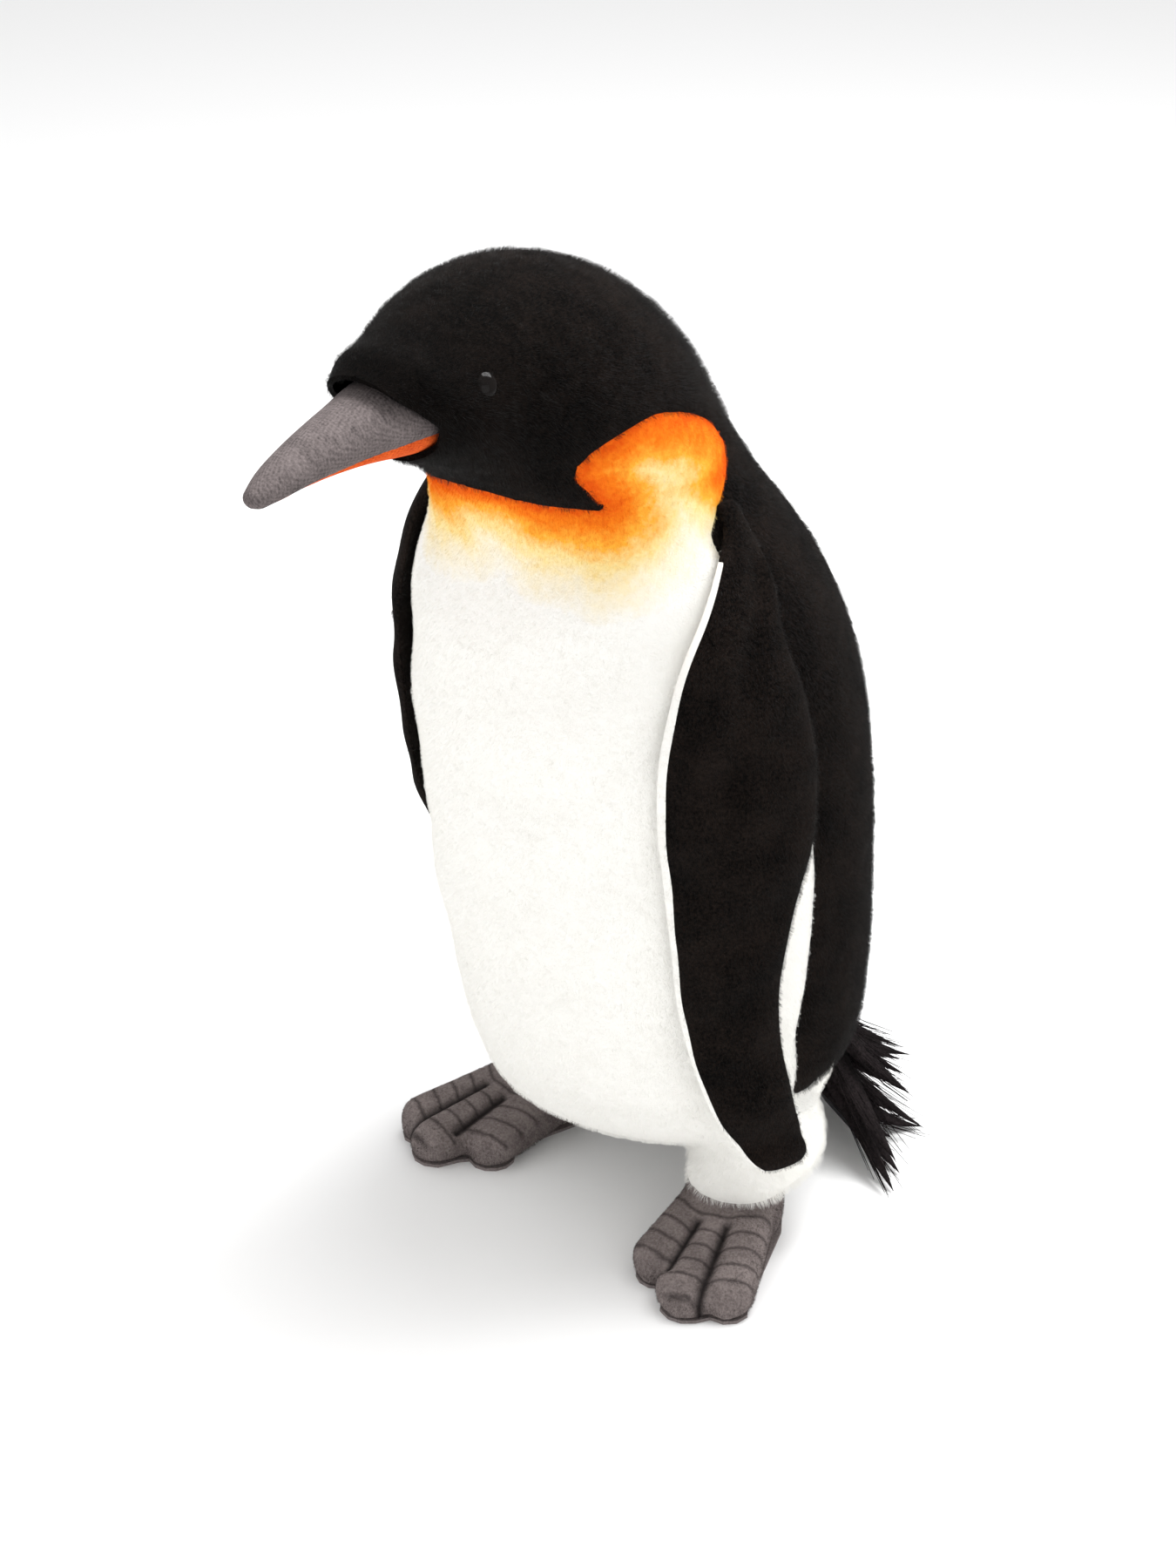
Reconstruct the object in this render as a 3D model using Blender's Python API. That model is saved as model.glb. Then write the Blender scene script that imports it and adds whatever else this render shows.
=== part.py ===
"""Plush emperor penguin, 0.6 m tall, that stands free on two small feet.

The sewn skin is a bent loft: it rises through the body, leans forward at the neck and runs
level through the head to the beak.  The skin's panels are cut from one shell of that loft,
and the stuffing, the wires and the ballast bag sit inside it.  The two flippers swing up
about their shoulder seams, and the tail lifts about the seam along its upper edge.
Metres, +Z up.  The penguin faces -Y, and its left side is at +X.
"""
import math

import bmesh
import bpy
import numpy as np
from mathutils import Matrix, Vector

# ---------------------------------------------------------------- driving dimensions
SKIN = 0.003            # plush fabric with its pile
GAP = 0.0003            # clear space between neighbouring pieces
FILL_GAP = 0.0008       # clear space between the skin and the stuffing
SIDES = 32              # facets around the body
RINGS_PER_SPAN = 2      # rings from one row of BODY to the next
WIDE = 0.30             # half width of a cutter that spans the whole toy
CENTRE = (0.0052, 0.0074, 0.0)          # brings the middle of the whole toy over the origin

# forward position, height, lean in degrees, half width, depth in front, depth behind
BODY = (
    (0.077, 0.061, 0, 0.055, 0.049, 0.050),
    (0.077, 0.071, 0, 0.088, 0.078, 0.082),
    (0.074, 0.100, 0, 0.110, 0.098, 0.105),
    (0.069, 0.160, 0, 0.123, 0.109, 0.114),
    (0.061, 0.230, 0, 0.129, 0.113, 0.114),
    (0.053, 0.300, 0, 0.130, 0.114, 0.115),
    (0.043, 0.365, 0, 0.124, 0.113, 0.113),
    (0.028, 0.420, 0, 0.108, 0.101, 0.104),
    (0.010, 0.462, 5, 0.089, 0.083, 0.085),
    (-0.009, 0.498, 15, 0.082, 0.075, 0.075),
    (-0.034, 0.527, 34, 0.080, 0.071, 0.072),
    (-0.066, 0.546, 58, 0.074, 0.061, 0.064),
    (-0.097, 0.552, 78, 0.061, 0.048, 0.050),
    (-0.126, 0.553, 90, 0.046, 0.036, 0.037),
    (-0.152, 0.553, 97, 0.0325, 0.0275, 0.0275),
    (-0.176, 0.551, 100, 0.0245, 0.0210, 0.0230),
)
BASE_CENTRE = (0.0, 0.077, 0.059)     # middle of the underside

BEAK = (
    (-0.140, 0.550, 95, 0.0280, 0.0225, 0.0200),
    (-0.158, 0.550, 97, 0.0250, 0.0205, 0.0185),
    (-0.179, 0.5485, 99, 0.0195, 0.0165, 0.0160),
    (-0.199, 0.546, 102, 0.0160, 0.0128, 0.0140),
    (-0.219, 0.5425, 106, 0.0128, 0.0100, 0.0118),
    (-0.236, 0.5385, 110, 0.0098, 0.0080, 0.0090),
    (-0.2475, 0.5350, 114, 0.0064, 0.0054, 0.0054),
)
BEAK_SKIN = 0.0016
BEAK_SIDES = 20
BEAK_RINGS = 9
# backward and upward from the end of BEAK: the tips of the outside, the inside and the filling
BEAK_TIPS = ((-0.0030, -0.0014), (0.0030, 0.0006), (0.0055, 0.0014))

# seams, drawn on the side view as (forward position, height)
SIDE_SEAM = ((0.060, 0.085), (0.054, 0.112), (0.046, 0.143), (0.045, 0.200), (0.042, 0.260),
             (0.034, 0.310), (0.020, 0.370), (0.006, 0.425), (-0.004, 0.460))
EAR_REAR = ((-0.004, 0.460), (0.006, 0.474), (0.020, 0.487), (0.026, 0.499))
EAR_FRONT = ((0.026, 0.499), (0.018, 0.510), (0.000, 0.521), (-0.022, 0.530), (-0.041, 0.534),
             (-0.059, 0.531), (-0.073, 0.525), (-0.081, 0.517), (-0.079, 0.508),
             (-0.068, 0.497), (-0.056, 0.484))
THROAT = ((-0.056, 0.484), (-0.077, 0.488), (-0.094, 0.495), (-0.105, 0.502), (-0.180, 0.500))
NAPE = ((0.026, 0.499), (0.080, 0.512), (0.130, 0.522))
HEM = ((0.054, 0.112), (0.057, 0.104), (0.065, 0.100), (0.200, 0.100))
FACE_EDGE = ((-0.184, 0.590), (-0.168, 0.565), (-0.151, 0.549), (-0.148, 0.536),
             (-0.152, 0.515))
MOUTH = ((-0.120, 0.5400), (-0.150, 0.5410), (-0.180, 0.5380), (-0.210, 0.5345),
         (-0.236, 0.5310), (-0.260, 0.5270))
BELLY_HEM_Z = 0.066     # where the belly panel meets the underside
BELLY_HEM_REAR = 0.062  # how far back the belly panel reaches there
CHIN = (-0.128, 0.501)  # where the throat's seam turns up to the beak
CORNER_GAP = 0.002      # seams stop this short of the corner where the hem meets them
HEM_LAP = 0.012         # the underside panel's outline dips this far under the hem
FAR_OUTSIDE = 2.2 * WIDE                # a side-view corner that lies well over the head

# flippers: height, angle of the front edge from the toy's front, angle covered, stand-off
# and thickness; the front edges are given for the left and for the right flipper, which
# hangs further back
FLIPPER = (
    (0.464, 74, 74, 11, 0.0050, 0.0060),
    (0.450, 70, 68, 16, 0.0040, 0.0080),
    (0.415, 56, 62, 26, 0.0030, 0.0110),
    (0.365, 45, 67, 36, 0.0025, 0.0130),
    (0.315, 40, 75, 41, 0.0025, 0.0140),
    (0.275, 41, 80, 35, 0.0025, 0.0140),
    (0.235, 42, 84, 29, 0.0035, 0.0130),
    (0.190, 44, 88, 25, 0.0055, 0.0120),
    (0.150, 48, 92, 22, 0.0095, 0.0110),
    (0.120, 54, 97, 19, 0.0165, 0.0100),
    (0.097, 60, 101, 16, 0.0225, 0.0085),
    (0.083, 65, 105, 12, 0.0295, 0.0070),
    (0.077, 68, 107, 8, 0.0330, 0.0050),
)
FLIPPER_EDGE = 0.0032   # half thickness of the flipper along its seam
FLIPPER_SKIN = 0.0018
FLIPPER_FILL_GAP = 0.0012               # clear space between its skin and its stuffing
FLIPPER_RINGS = 15
FRONT_SEAM_TURN = 152   # the white lining turns over the front edge as far as this
FLIPPER_HINGE = (0.4636, 78, 0.0046)    # height, angle from the front and stand-off

# feet, in each foot's own forward and sideways axes from the ankle
STANCE = {"left": (0.074, 0.051, 15), "right": (-0.093, 0.086, 15)}     # ankle, turn-out
HIP = {"left": (0.081, 0.060), "right": (-0.079, 0.084)}
HIP_Z = 0.054           # the legs lean from the ankle to this height
FOOT_CENTRE = (0.003, 0.036)
TOES = ((-0.0240, 0.0740, 0.0140), (0.0010, 0.0985, 0.0160), (0.0230, 0.0905, 0.0130))
HEEL = (0.0, -0.030, 0.0275)
ANKLE_R = 0.0270
ANKLE_Z = 0.034
TOE_Z = 0.020
FOOT_SKIN = 0.0018
SOLE_T = 0.0020
BOARD_T = 0.0020
BOARD_INSET = 0.0040
FOOT_FILL_GAP = 0.0078
FOOT_FILL = ((1.0, 0.0105), (0.45, 0.0200), (0.0, 0.0330))      # share of the way out, height
FOOT_SHARES = (0.0, 0.30, 0.60, 0.80, 0.92, 0.98, 1.0)          # share of the way out
FOOT_SIDES = 48

# legs: height and radius
LEG_PROFILE = ((0.0343, 0.0275), (0.0440, 0.0330), (0.0560, 0.0375), (0.0700, 0.0385),
               (0.0860, 0.0350))
LEG_FILL = ((0.0345, 0.0230), (0.044, 0.0265), (0.0530, 0.0265), (0.0545, 0.0174),
            (0.0605, 0.0174))
LEG_HOLE_R = 0.0180
LEG_HOLE_TOP = 0.095
LEG_SIDES = 28

# tail
TAIL_SPREAD = 92        # degrees to each side
TAIL_ROOT_HALF = 0.046
TAIL_ROOT_Z = 0.098
TAIL_LENGTH = (0.054, 0.078)            # straight back, and at the sides
TAIL_STAND_OFF = 0.0035
TAIL_SLICES = 15
TAIL_HINGE_Z = 0.102
# slices of the tail: share of its length, height
TAIL_FUR = ((0.0, 0.102), (0.30, 0.086), (0.66, 0.057), (1.0, 0.020), (0.86, 0.0095),
            (0.52, 0.0075), (0.20, 0.024), (0.04, 0.062))
TAIL_LINING = ((0.02, 0.061), (0.18, 0.0225), (0.48, 0.0063), (0.48, 0.0043), (0.155, 0.0205),
               (0.0, 0.060))

# care label, on the right of the lower back
LABEL_HEIGHTS = (0.078, 0.095)
LABEL_ANGLES = (136, 141, 146)
LABEL_STAND_OFFS = (0.0022, 0.0030)

# eyes, with depths measured outward from the skin
EYE_R = 0.0076
EYE_SPOT = (0.043, -0.129, 0.567)
EYE_SEAT = 0.0005
EYE_DOME = 0.0038
SHANK_R = 0.0015
SHANK_END = -0.0100
SHANK_HOLE = (0.0021, 0.0200)           # radius and depth through the skin
WASHER_R = 0.0062
WASHER_BORE_R = 0.0018
WASHER_FACES = (-0.0068, -0.0052)
WASHER_POCKET = (0.0070, 0.0112)        # radius and depth in the stuffing

# wires and ballast
WIRE_R = 0.0016
WIRE_CLEAR = 0.0006
WIRE_SIDES = 8
WIRE_FLOOR = 0.0085     # height of the wire's feet
WIRE_TOE = 0.055        # how far forward of the ankle a foot's wire ends
HOOP_TOP_Z = 0.130
HEEL_BEND = 0.008
HIP_BEND = 0.015
SPINE = ((0.053, 0.300), (0.030, 0.420), (-0.005, 0.490), (-0.040, 0.530), (-0.075, 0.545))
SPINE_FREE_ENDS = (0.02, 0.10)          # clear length at its ends, as shares of their spans
BAG_R = 0.045
BAG_Z = 0.0755
BAG_HALF_T = 0.0130
BAG_CLEAR = 0.0005
BAG_POCKET_FLOOR = 0.050
NECK_Z = 0.480          # where the body's filling meets the head's
NECK_GAP_SHARE = 0.05   # the space between them, as a share of one ring's spacing
HEAD_FILL_END = -0.134


# ---------------------------------------------------------------- scene and materials
def clear_scene():
    for obj in list(bpy.data.objects):
        bpy.data.objects.remove(obj, do_unlink=True)


def material(name, colour, roughness=0.9, metallic=0.0):
    mat = bpy.data.materials.new(name)
    mat.use_nodes = True
    shader = mat.node_tree.nodes["Principled BSDF"]
    shader.inputs["Base Color"].default_value = (*colour, 1.0)
    shader.inputs["Roughness"].default_value = roughness
    shader.inputs["Metallic"].default_value = metallic
    return mat


def make_materials():
    return {
        "black_plush": material("black_plush", (0.020, 0.018, 0.016), 0.95),
        "white_plush": material("white_plush", (0.88, 0.87, 0.82), 0.95),
        "grey_knit": material("grey_knit", (0.22, 0.20, 0.19), 0.9),
        "orange_knit": material("orange_knit", (0.80, 0.16, 0.03), 0.9),
        "foot_plush": material("foot_plush", (0.26, 0.22, 0.21), 0.95),
        "sole_felt": material("sole_felt", (0.16, 0.14, 0.13), 0.95),
        "long_fur": material("long_fur", (0.018, 0.015, 0.016), 0.8),
        "lining": material("lining", (0.03, 0.03, 0.03), 0.9),
        "fibre_fill": material("fibre_fill", (0.90, 0.90, 0.88), 1.0),
        "eye_plastic": material("eye_plastic", (0.008, 0.007, 0.007), 0.12),
        "washer_plastic": material("washer_plastic", (0.80, 0.80, 0.78), 0.5),
        "insole_board": material("insole_board", (0.60, 0.58, 0.54), 0.6),
        "steel_wire": material("steel_wire", (0.55, 0.55, 0.56), 0.35, 1.0),
        "pellet_cloth": material("pellet_cloth", (0.70, 0.68, 0.62), 0.9),
        "label_satin": material("label_satin", (0.90, 0.90, 0.88), 0.6),
    }


# ---------------------------------------------------------------- curves
def spline(rows, count=0, per_span=0, plane=2):
    """Smooth curve through the rows: evenly spaced points, or a number in every span.

    The spacing is measured in the first columns, two of them unless plane says otherwise.
    """
    rows = np.array(rows, float)
    chord = np.linalg.norm(np.diff(rows[:, :plane], axis=0), axis=1)
    knots = np.concatenate(([0.0], np.cumsum(chord)))
    slopes = np.gradient(rows, knots, axis=0)
    spots = np.linspace(0.0, knots[-1], count)
    if per_span:
        index = np.arange(len(rows))
        spots = np.interp(np.linspace(0, index[-1], index[-1] * per_span + 1), index, knots)
    out = []
    for s in spots:
        i = min(int(np.searchsorted(knots, s, side="right")) - 1, len(rows) - 2)
        step = knots[i + 1] - knots[i]
        t = (s - knots[i]) / step
        out.append((2 * t**3 - 3 * t**2 + 1) * rows[i] + (t**3 - 2 * t**2 + t) * step * slopes[i]
                   + (3 * t**2 - 2 * t**3) * rows[i + 1] + (t**3 - t**2) * step * slopes[i + 1])
    return out


def section_point(row, angle, inset=0.0):
    """Point of one cross-section; angle 0 faces front, and the left side is at +90 degrees."""
    forward, height, lean, half_width, front, back = row
    lean = math.radians(lean)
    depth = (front if math.cos(angle) > 0 else back) - inset
    across = -math.cos(angle) * depth
    return Vector(((half_width - inset) * math.sin(angle),
                   forward + across * math.cos(lean),
                   height + across * math.sin(lean)))


def section_ring(row, sides, inset=0.0):
    return [section_point(row, 2 * math.pi * k / sides, inset) for k in range(sides)]


def body_row_at(height):
    """The body's cross-section at a height below the neck."""
    table = np.array(spline(BODY[:10], 120))
    return [np.interp(height, table[:, 1], table[:, k]) for k in range(6)]


# ---------------------------------------------------------------- mesh helpers
def add_mesh(name, verts, faces, mat=None, smooth=True):
    mesh = bpy.data.meshes.new(name)
    mesh.from_pydata([tuple(v) for v in verts], [], faces)
    mesh.validate()
    bm = bmesh.new()
    bm.from_mesh(mesh)
    bmesh.ops.recalc_face_normals(bm, faces=bm.faces)
    bm.to_mesh(mesh)
    bm.free()
    if smooth:
        mesh.shade_smooth()
        mesh.set_sharp_from_angle(angle=math.radians(45))
    obj = bpy.data.objects.new(name, mesh)
    bpy.context.scene.collection.objects.link(obj)
    if mat is not None:
        mesh.materials.append(mat)
    return obj


def strip(first, second, sides, closed=True):
    """Quads between two rings of vertex indices."""
    last = sides if closed else sides - 1
    return [(first + k, first + (k + 1) % sides, second + (k + 1) % sides, second + k)
            for k in range(last)]


def stack(rings):
    """Vertices and quads of rings that follow one another, open at both ends."""
    sides = len(rings[0])
    verts = [p for ring in rings for p in ring]
    faces = []
    for i in range(len(rings) - 1):
        faces += strip(i * sides, (i + 1) * sides, sides)
    return verts, faces


def add_solid(name, rings, mat, start=None, end=None):
    """Closed solid from rings, with a point or a flat face at each end."""
    sides = len(rings[0])
    verts, faces = stack(rings)
    for point, first in ((start, 0), (end, (len(rings) - 1) * sides)):
        if point is None:
            faces.append(tuple(first + k for k in range(sides)))
        else:
            verts.append(point)
            tip = len(verts) - 1
            faces += [(first + k, first + (k + 1) % sides, tip) for k in range(sides)]
    return add_mesh(name, verts, faces, mat)


def add_shell(name, outer, inner, mat, start=None):
    """Shell between outer and inner rings.

    start is None for an open rim, or a pair of points that close both surfaces there.
    """
    sides = len(outer[0])
    verts, faces = stack(outer)
    offset = len(verts)
    more, more_faces = stack(inner)
    verts += more
    faces += [tuple(i + offset for i in f) for f in more_faces]
    last_outer = (len(outer) - 1) * sides
    last_inner = offset + (len(inner) - 1) * sides
    faces += strip(last_outer, last_inner, sides)
    if start is None:
        faces += strip(0, offset, sides)
    else:
        for point, first in ((start[0], 0), (start[1], offset)):
            verts.append(point)
            tip = len(verts) - 1
            faces += [(first + k, first + (k + 1) % sides, tip) for k in range(sides)]
    return add_mesh(name, verts, faces, mat)


def as_cutter(obj):
    obj.hide_render = True
    obj.display_type = "WIRE"
    return obj


def boolean(obj, cutter, operation):
    mod = obj.modifiers.new(operation.lower(), "BOOLEAN")
    mod.operation = operation
    mod.solver = "EXACT"
    mod.object = cutter
    return obj


def add_prism(name, outline, x_low, x_high):
    """Cutter that carries a side-view outline across the toy, set in by half a gap."""
    points = np.array(outline, float)
    area = 0.5 * np.sum(points[:, 0] * np.roll(points[:, 1], -1)
                        - np.roll(points[:, 0], -1) * points[:, 1])
    edges = np.roll(points, -1, axis=0) - points
    normals = np.stack([-edges[:, 1], edges[:, 0]], 1) * np.sign(area)
    normals /= np.linalg.norm(normals, axis=1)[:, None]
    inward = normals + np.roll(normals, 1, axis=0)
    inward /= np.linalg.norm(inward, axis=1)[:, None]
    points = points + inward * GAP * 0.5
    sides = len(points)
    verts = [(x, p[0], p[1]) for x in (x_low, x_high) for p in points]
    faces = strip(0, sides, sides)
    faces += [tuple(range(sides)), tuple(range(sides, 2 * sides))]
    return as_cutter(add_mesh(name, verts, faces, smooth=False))


def ring_about(centre, axis, radius, sides, turn=0.0):
    """Circle of points about an axis."""
    axis = Vector(axis).normalized()
    helper = Vector((1, 0, 0)) if abs(axis.x) < 0.9 else Vector((0, 1, 0))
    u = axis.cross(helper).normalized()
    v = axis.cross(u)
    return [Vector(centre) + radius * (math.cos(a) * u + math.sin(a) * v)
            for a in (turn + 2 * math.pi * k / sides for k in range(sides))]


def add_revolve(name, centre, axis, profile, sides, mat, pointed=False):
    """Solid turned about an axis from (distance along the axis, radius) pairs."""
    axis = Vector(axis).normalized()
    rings = [ring_about(Vector(centre) + axis * d, axis, r, sides) for d, r in profile]
    end = Vector(centre) + axis * pointed if pointed else None
    return add_solid(name, rings, mat, end=end)


def add_rod(name, path, radius, sides, mat):
    """Round rod that follows a path, with its corners mitred."""
    path = [Vector(p) for p in path]
    side = None
    rings = []
    for i, p in enumerate(path):
        before = (p - path[i - 1]).normalized() if i else (path[1] - p).normalized()
        after = (path[i + 1] - p).normalized() if i + 1 < len(path) else before
        tangent = (before + after).normalized()
        if side is None:
            side = Vector((0, 1, 0)) if abs(tangent.y) < 0.9 else Vector((1, 0, 0))
        side = (side - side.dot(tangent) * tangent).normalized()
        other = tangent.cross(side)
        stretch = 1.0 / max(0.5, before.dot(tangent))
        bend = (after - before)
        ring = []
        for k in range(sides):
            a = 2 * math.pi * k / sides
            spoke = radius * (math.cos(a) * side + math.sin(a) * other)
            if bend.length > 1e-6:
                along = spoke.dot(bend.normalized())
                spoke += bend.normalized() * along * (stretch - 1.0)
            ring.append(p + spoke)
        rings.append(ring)
    return add_solid(name, rings, mat)


def rounded_corner(before, corner, after, radius, steps=4):
    """Quadratic bend that replaces a sharp corner of a wire."""
    before, corner, after = Vector(before), Vector(corner), Vector(after)
    start = corner + (before - corner).normalized() * radius
    end = corner + (after - corner).normalized() * radius
    return [(1 - t)**2 * start + 2 * t * (1 - t) * corner + t**2 * end
            for t in (i / steps for i in range(steps + 1))]


# ---------------------------------------------------------------- side-view outlines
def curve2(rows, count):
    return [tuple(p) for p in spline(rows, count)]


def white_edge():
    """Edge of the white front, from its hem up the side, round the ear patch, to the throat."""
    return (curve2(SIDE_SEAM, 12)[:-1] + curve2(EAR_REAR, 5)[:-1] + curve2(EAR_FRONT, 18)[:-1]
            + curve2(THROAT[:-1], 6) + [THROAT[-1]])


def front_outline():
    return ([(-WIDE, BELLY_HEM_Z), (BELLY_HEM_REAR, BELLY_HEM_Z)] + white_edge()
            + [(-WIDE, THROAT[-1][1])])


def head_outline():
    ear_to_throat = curve2(EAR_FRONT, 18)[:-1] + curve2(THROAT[:-1], 6)
    chin = [CHIN] + curve2(FACE_EDGE[::-1], 8)
    over = [(FACE_EDGE[0][0], FAR_OUTSIDE), (NAPE[-1][0], FAR_OUTSIDE)]
    return ear_to_throat + chin + over + list(NAPE[:0:-1])


def back_outline():
    seam = curve2(SIDE_SEAM, 12)
    seam = [p for p in seam if p[1] > HEM[0][1] + CORNER_GAP]
    rear = curve2(EAR_REAR, 5)[1:]
    return list(HEM[::-1]) + seam + rear + list(NAPE[1:]) + [(HEM[-1][0], NAPE[-1][1])]


def seat_outline():
    seam = [p for p in curve2(SIDE_SEAM, 12) if p[1] < HEM[0][1] - CORNER_GAP]
    return ([(-WIDE, 0.0), (WIDE, 0.0), (WIDE, HEM[0][1] - HEM_LAP)] + list(HEM[::-1])
            + seam[::-1] + [(BELLY_HEM_REAR, BELLY_HEM_Z), (-WIDE, BELLY_HEM_Z)])


# ---------------------------------------------------------------- skin
def body_rows():
    return spline(BODY, per_span=RINGS_PER_SPAN)


def body_rings(inset):
    return [section_ring(row, SIDES, inset) for row in body_rows()]


def add_skin(name, mat):
    base = Vector(BASE_CENTRE)
    lift = Vector((0, 0, SKIN))
    outer = body_rings(0.0)
    inner = [[p.copy() for p in ring] for ring in body_rings(SKIN)]
    inner[0] = [p + lift for p in inner[0]]
    return add_shell(name, outer, inner, mat, start=(base, base + lift))


def add_skin_panel(name, outline, x_low, x_high, mat):
    panel = add_skin(name, mat)
    return boolean(panel, add_prism(name + "_outline", outline, x_low, x_high), "INTERSECT")


def add_skin_panels(mats):
    half = GAP * 0.5
    front = add_skin_panel("front_panel", front_outline(), -WIDE, WIDE, mats["white_plush"])
    seat = add_skin_panel("seat_panel", seat_outline(), -WIDE, WIDE, mats["white_plush"])
    for side, sign in (("left", 1), ("right", -1)):
        span = sorted((sign * half, sign * WIDE))
        head = add_skin_panel(f"head_{side}_panel", head_outline(), *span, mats["black_plush"])
        add_skin_panel(f"back_{side}_panel", back_outline(), *span, mats["black_plush"])
        boolean(head, add_eye_hole(sign, *SHANK_HOLE), "DIFFERENCE")
        leg_hole = add_leg_hole(side)
        boolean(seat, leg_hole, "DIFFERENCE")
        boolean(front, leg_hole, "DIFFERENCE")


# ---------------------------------------------------------------- eyes
def eye_frame(sign):
    """The eye's seat on the skin and the outward direction there."""
    spot = Vector((EYE_SPOT[0] * sign, EYE_SPOT[1], EYE_SPOT[2]))
    rows = spline(BODY, 200)
    best = None
    for row in rows[120:]:
        for k in range(96):
            p = section_point(row, 2 * math.pi * k / 96)
            if best is None or (p - spot).length < (best[0] - spot).length:
                best = (p, row, 2 * math.pi * k / 96)
    point, row, angle = best
    index = next(i for i, r in enumerate(rows) if r is row)
    along = section_point(rows[index + 2], angle) - section_point(rows[index - 2], angle)
    around = section_point(row, angle + 0.05) - section_point(row, angle - 0.05)
    normal = along.cross(around).normalized()
    if normal.x * sign < 0:
        normal = -normal
    return point, normal


def add_eye_hole(sign, radius, depth):
    point, normal = eye_frame(sign)
    profile = ((-depth, radius), (0.010, radius))
    return as_cutter(add_revolve(f"eye_hole_{sign}_{radius}", point, normal, profile, 12, None))


def add_eyes(mats):
    for side, sign in (("left", 1), ("right", -1)):
        point, normal = eye_frame(sign)
        dome = [(EYE_SEAT + EYE_DOME * math.sin(t), EYE_R * math.cos(t))
                for t in (math.radians(a) for a in (0, 18, 36, 54, 72))]
        profile = [(SHANK_END, SHANK_R), (EYE_SEAT, SHANK_R)] + dome
        add_revolve(f"eye_{side}", point, normal, profile, 24, mats["eye_plastic"],
                    pointed=EYE_SEAT + EYE_DOME)
        add_washer(side, point, normal, mats)


def add_washer(side, point, normal, mats):
    outer = [ring_about(point + normal * d, normal, WASHER_R, 20) for d in WASHER_FACES]
    inner = [ring_about(point + normal * d, normal, WASHER_BORE_R, 20) for d in WASHER_FACES]
    add_shell(f"eye_washer_{side}", outer, inner, mats["washer_plastic"])


# ---------------------------------------------------------------- beak
def add_beak(mats):
    rows = spline(BEAK, BEAK_RINGS)
    outer = [section_ring(r, BEAK_SIDES) for r in rows]
    inner = [section_ring(r, BEAK_SIDES, BEAK_SKIN) for r in rows[:-1]]
    fill = [section_ring(r, BEAK_SIDES, BEAK_SKIN + FILL_GAP * 0.6) for r in rows[:-1]]
    tip, inner_tip, fill_tip = (Vector((0.0, rows[-1][0] + back, rows[-1][1] + up))
                                for back, up in BEAK_TIPS)
    # the mouth line carried on past the tip and back to the middle of the head
    line = [(0.0, MOUTH[0][1])] + list(MOUTH) + [(-WIDE, MOUTH[-1][1])]
    upper_outline = line + [(-WIDE, FAR_OUTSIDE), (0.0, FAR_OUTSIDE)]
    lower_outline = line + [(-WIDE, 0.0), (0.0, 0.0)]
    for name, outline, mat in (("beak_upper", upper_outline, "grey_knit"),
                               ("beak_lower", lower_outline, "orange_knit")):
        piece = add_shell(name, outer[::-1], inner[::-1], mats[mat], start=(tip, inner_tip))
        boolean(piece, add_prism(name + "_outline", outline, -WIDE, WIDE), "INTERSECT")
    add_solid("beak_stuffing", fill, mats["fibre_fill"], end=fill_tip)


# ---------------------------------------------------------------- flippers
def flank_point(height, angle, offset, sign):
    """Point beside the body at a height, an angle from the front and a stand-off."""
    forward, _, _, half_width, front, back = body_row_at(height)
    depth = front if abs(angle) < math.pi / 2 else back
    return Vector((sign * (half_width + offset) * math.sin(angle),
                   forward - (depth + offset) * math.cos(angle), height))


def flipper_ring(row, sign, shrink, turns):
    """Part of a flipper's cross-section: hollow side to the body, swelling outward.

    Turn 0 is the rear edge, half a turn is the front edge, and the outer face lies between.
    """
    height, first, last, stand_off, thickness = row
    first, last = math.radians(first), math.radians(last)
    radius = body_row_at(height)[3] + stand_off
    middle = 0.5 * (first + last)
    half = max(0.5 * (last - first) - shrink / radius, 0.004)
    edge = FLIPPER_EDGE - shrink
    swell = max(thickness - 2 * FLIPPER_EDGE, 0.0)
    ring = []
    for turn in turns:
        lift = math.sin(turn)
        out = stand_off + FLIPPER_EDGE + edge * lift + (swell * lift if lift > 0 else 0.0)
        ring.append(flank_point(height, middle + half * math.cos(turn), out, sign))
    return ring


def flipper_rows(side):
    """Height, first and last angle, stand-off and thickness down one flipper."""
    rows = []
    for height, left, right, spread, stand_off, thickness in spline(FLIPPER, FLIPPER_RINGS, plane=1):
        first = left if side == "left" else right
        rows.append((height, first, first + spread, stand_off, thickness))
    return rows


def seam_turns(row, face):
    """Turns of a flipper's outer face or of its lining, half a gap back from both seams."""
    half_width = 0.5 * math.radians(row[2] - row[1]) * (body_row_at(row[0])[3] + row[3])
    front = math.radians(FRONT_SEAM_TURN)
    front_gap = GAP * 0.7 / (half_width * math.sin(front))
    rear_gap = GAP * 0.5 / (FLIPPER_EDGE - FLIPPER_SKIN)
    if face == "outer":
        return list(np.linspace(rear_gap, front - front_gap, 9))
    return list(np.linspace(front + front_gap, 2 * math.pi - rear_gap, 10))


def add_flipper_shell(name, rows, sign, face, mat):
    """Skin of a flipper between its two seams."""
    loops = []
    for row in rows:
        turns = seam_turns(row, face)
        loops.append(flipper_ring(row, sign, 0.0, turns)
                     + flipper_ring(row, sign, FLIPPER_SKIN, turns[::-1]))
    return add_solid(name, loops, mat)


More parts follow.
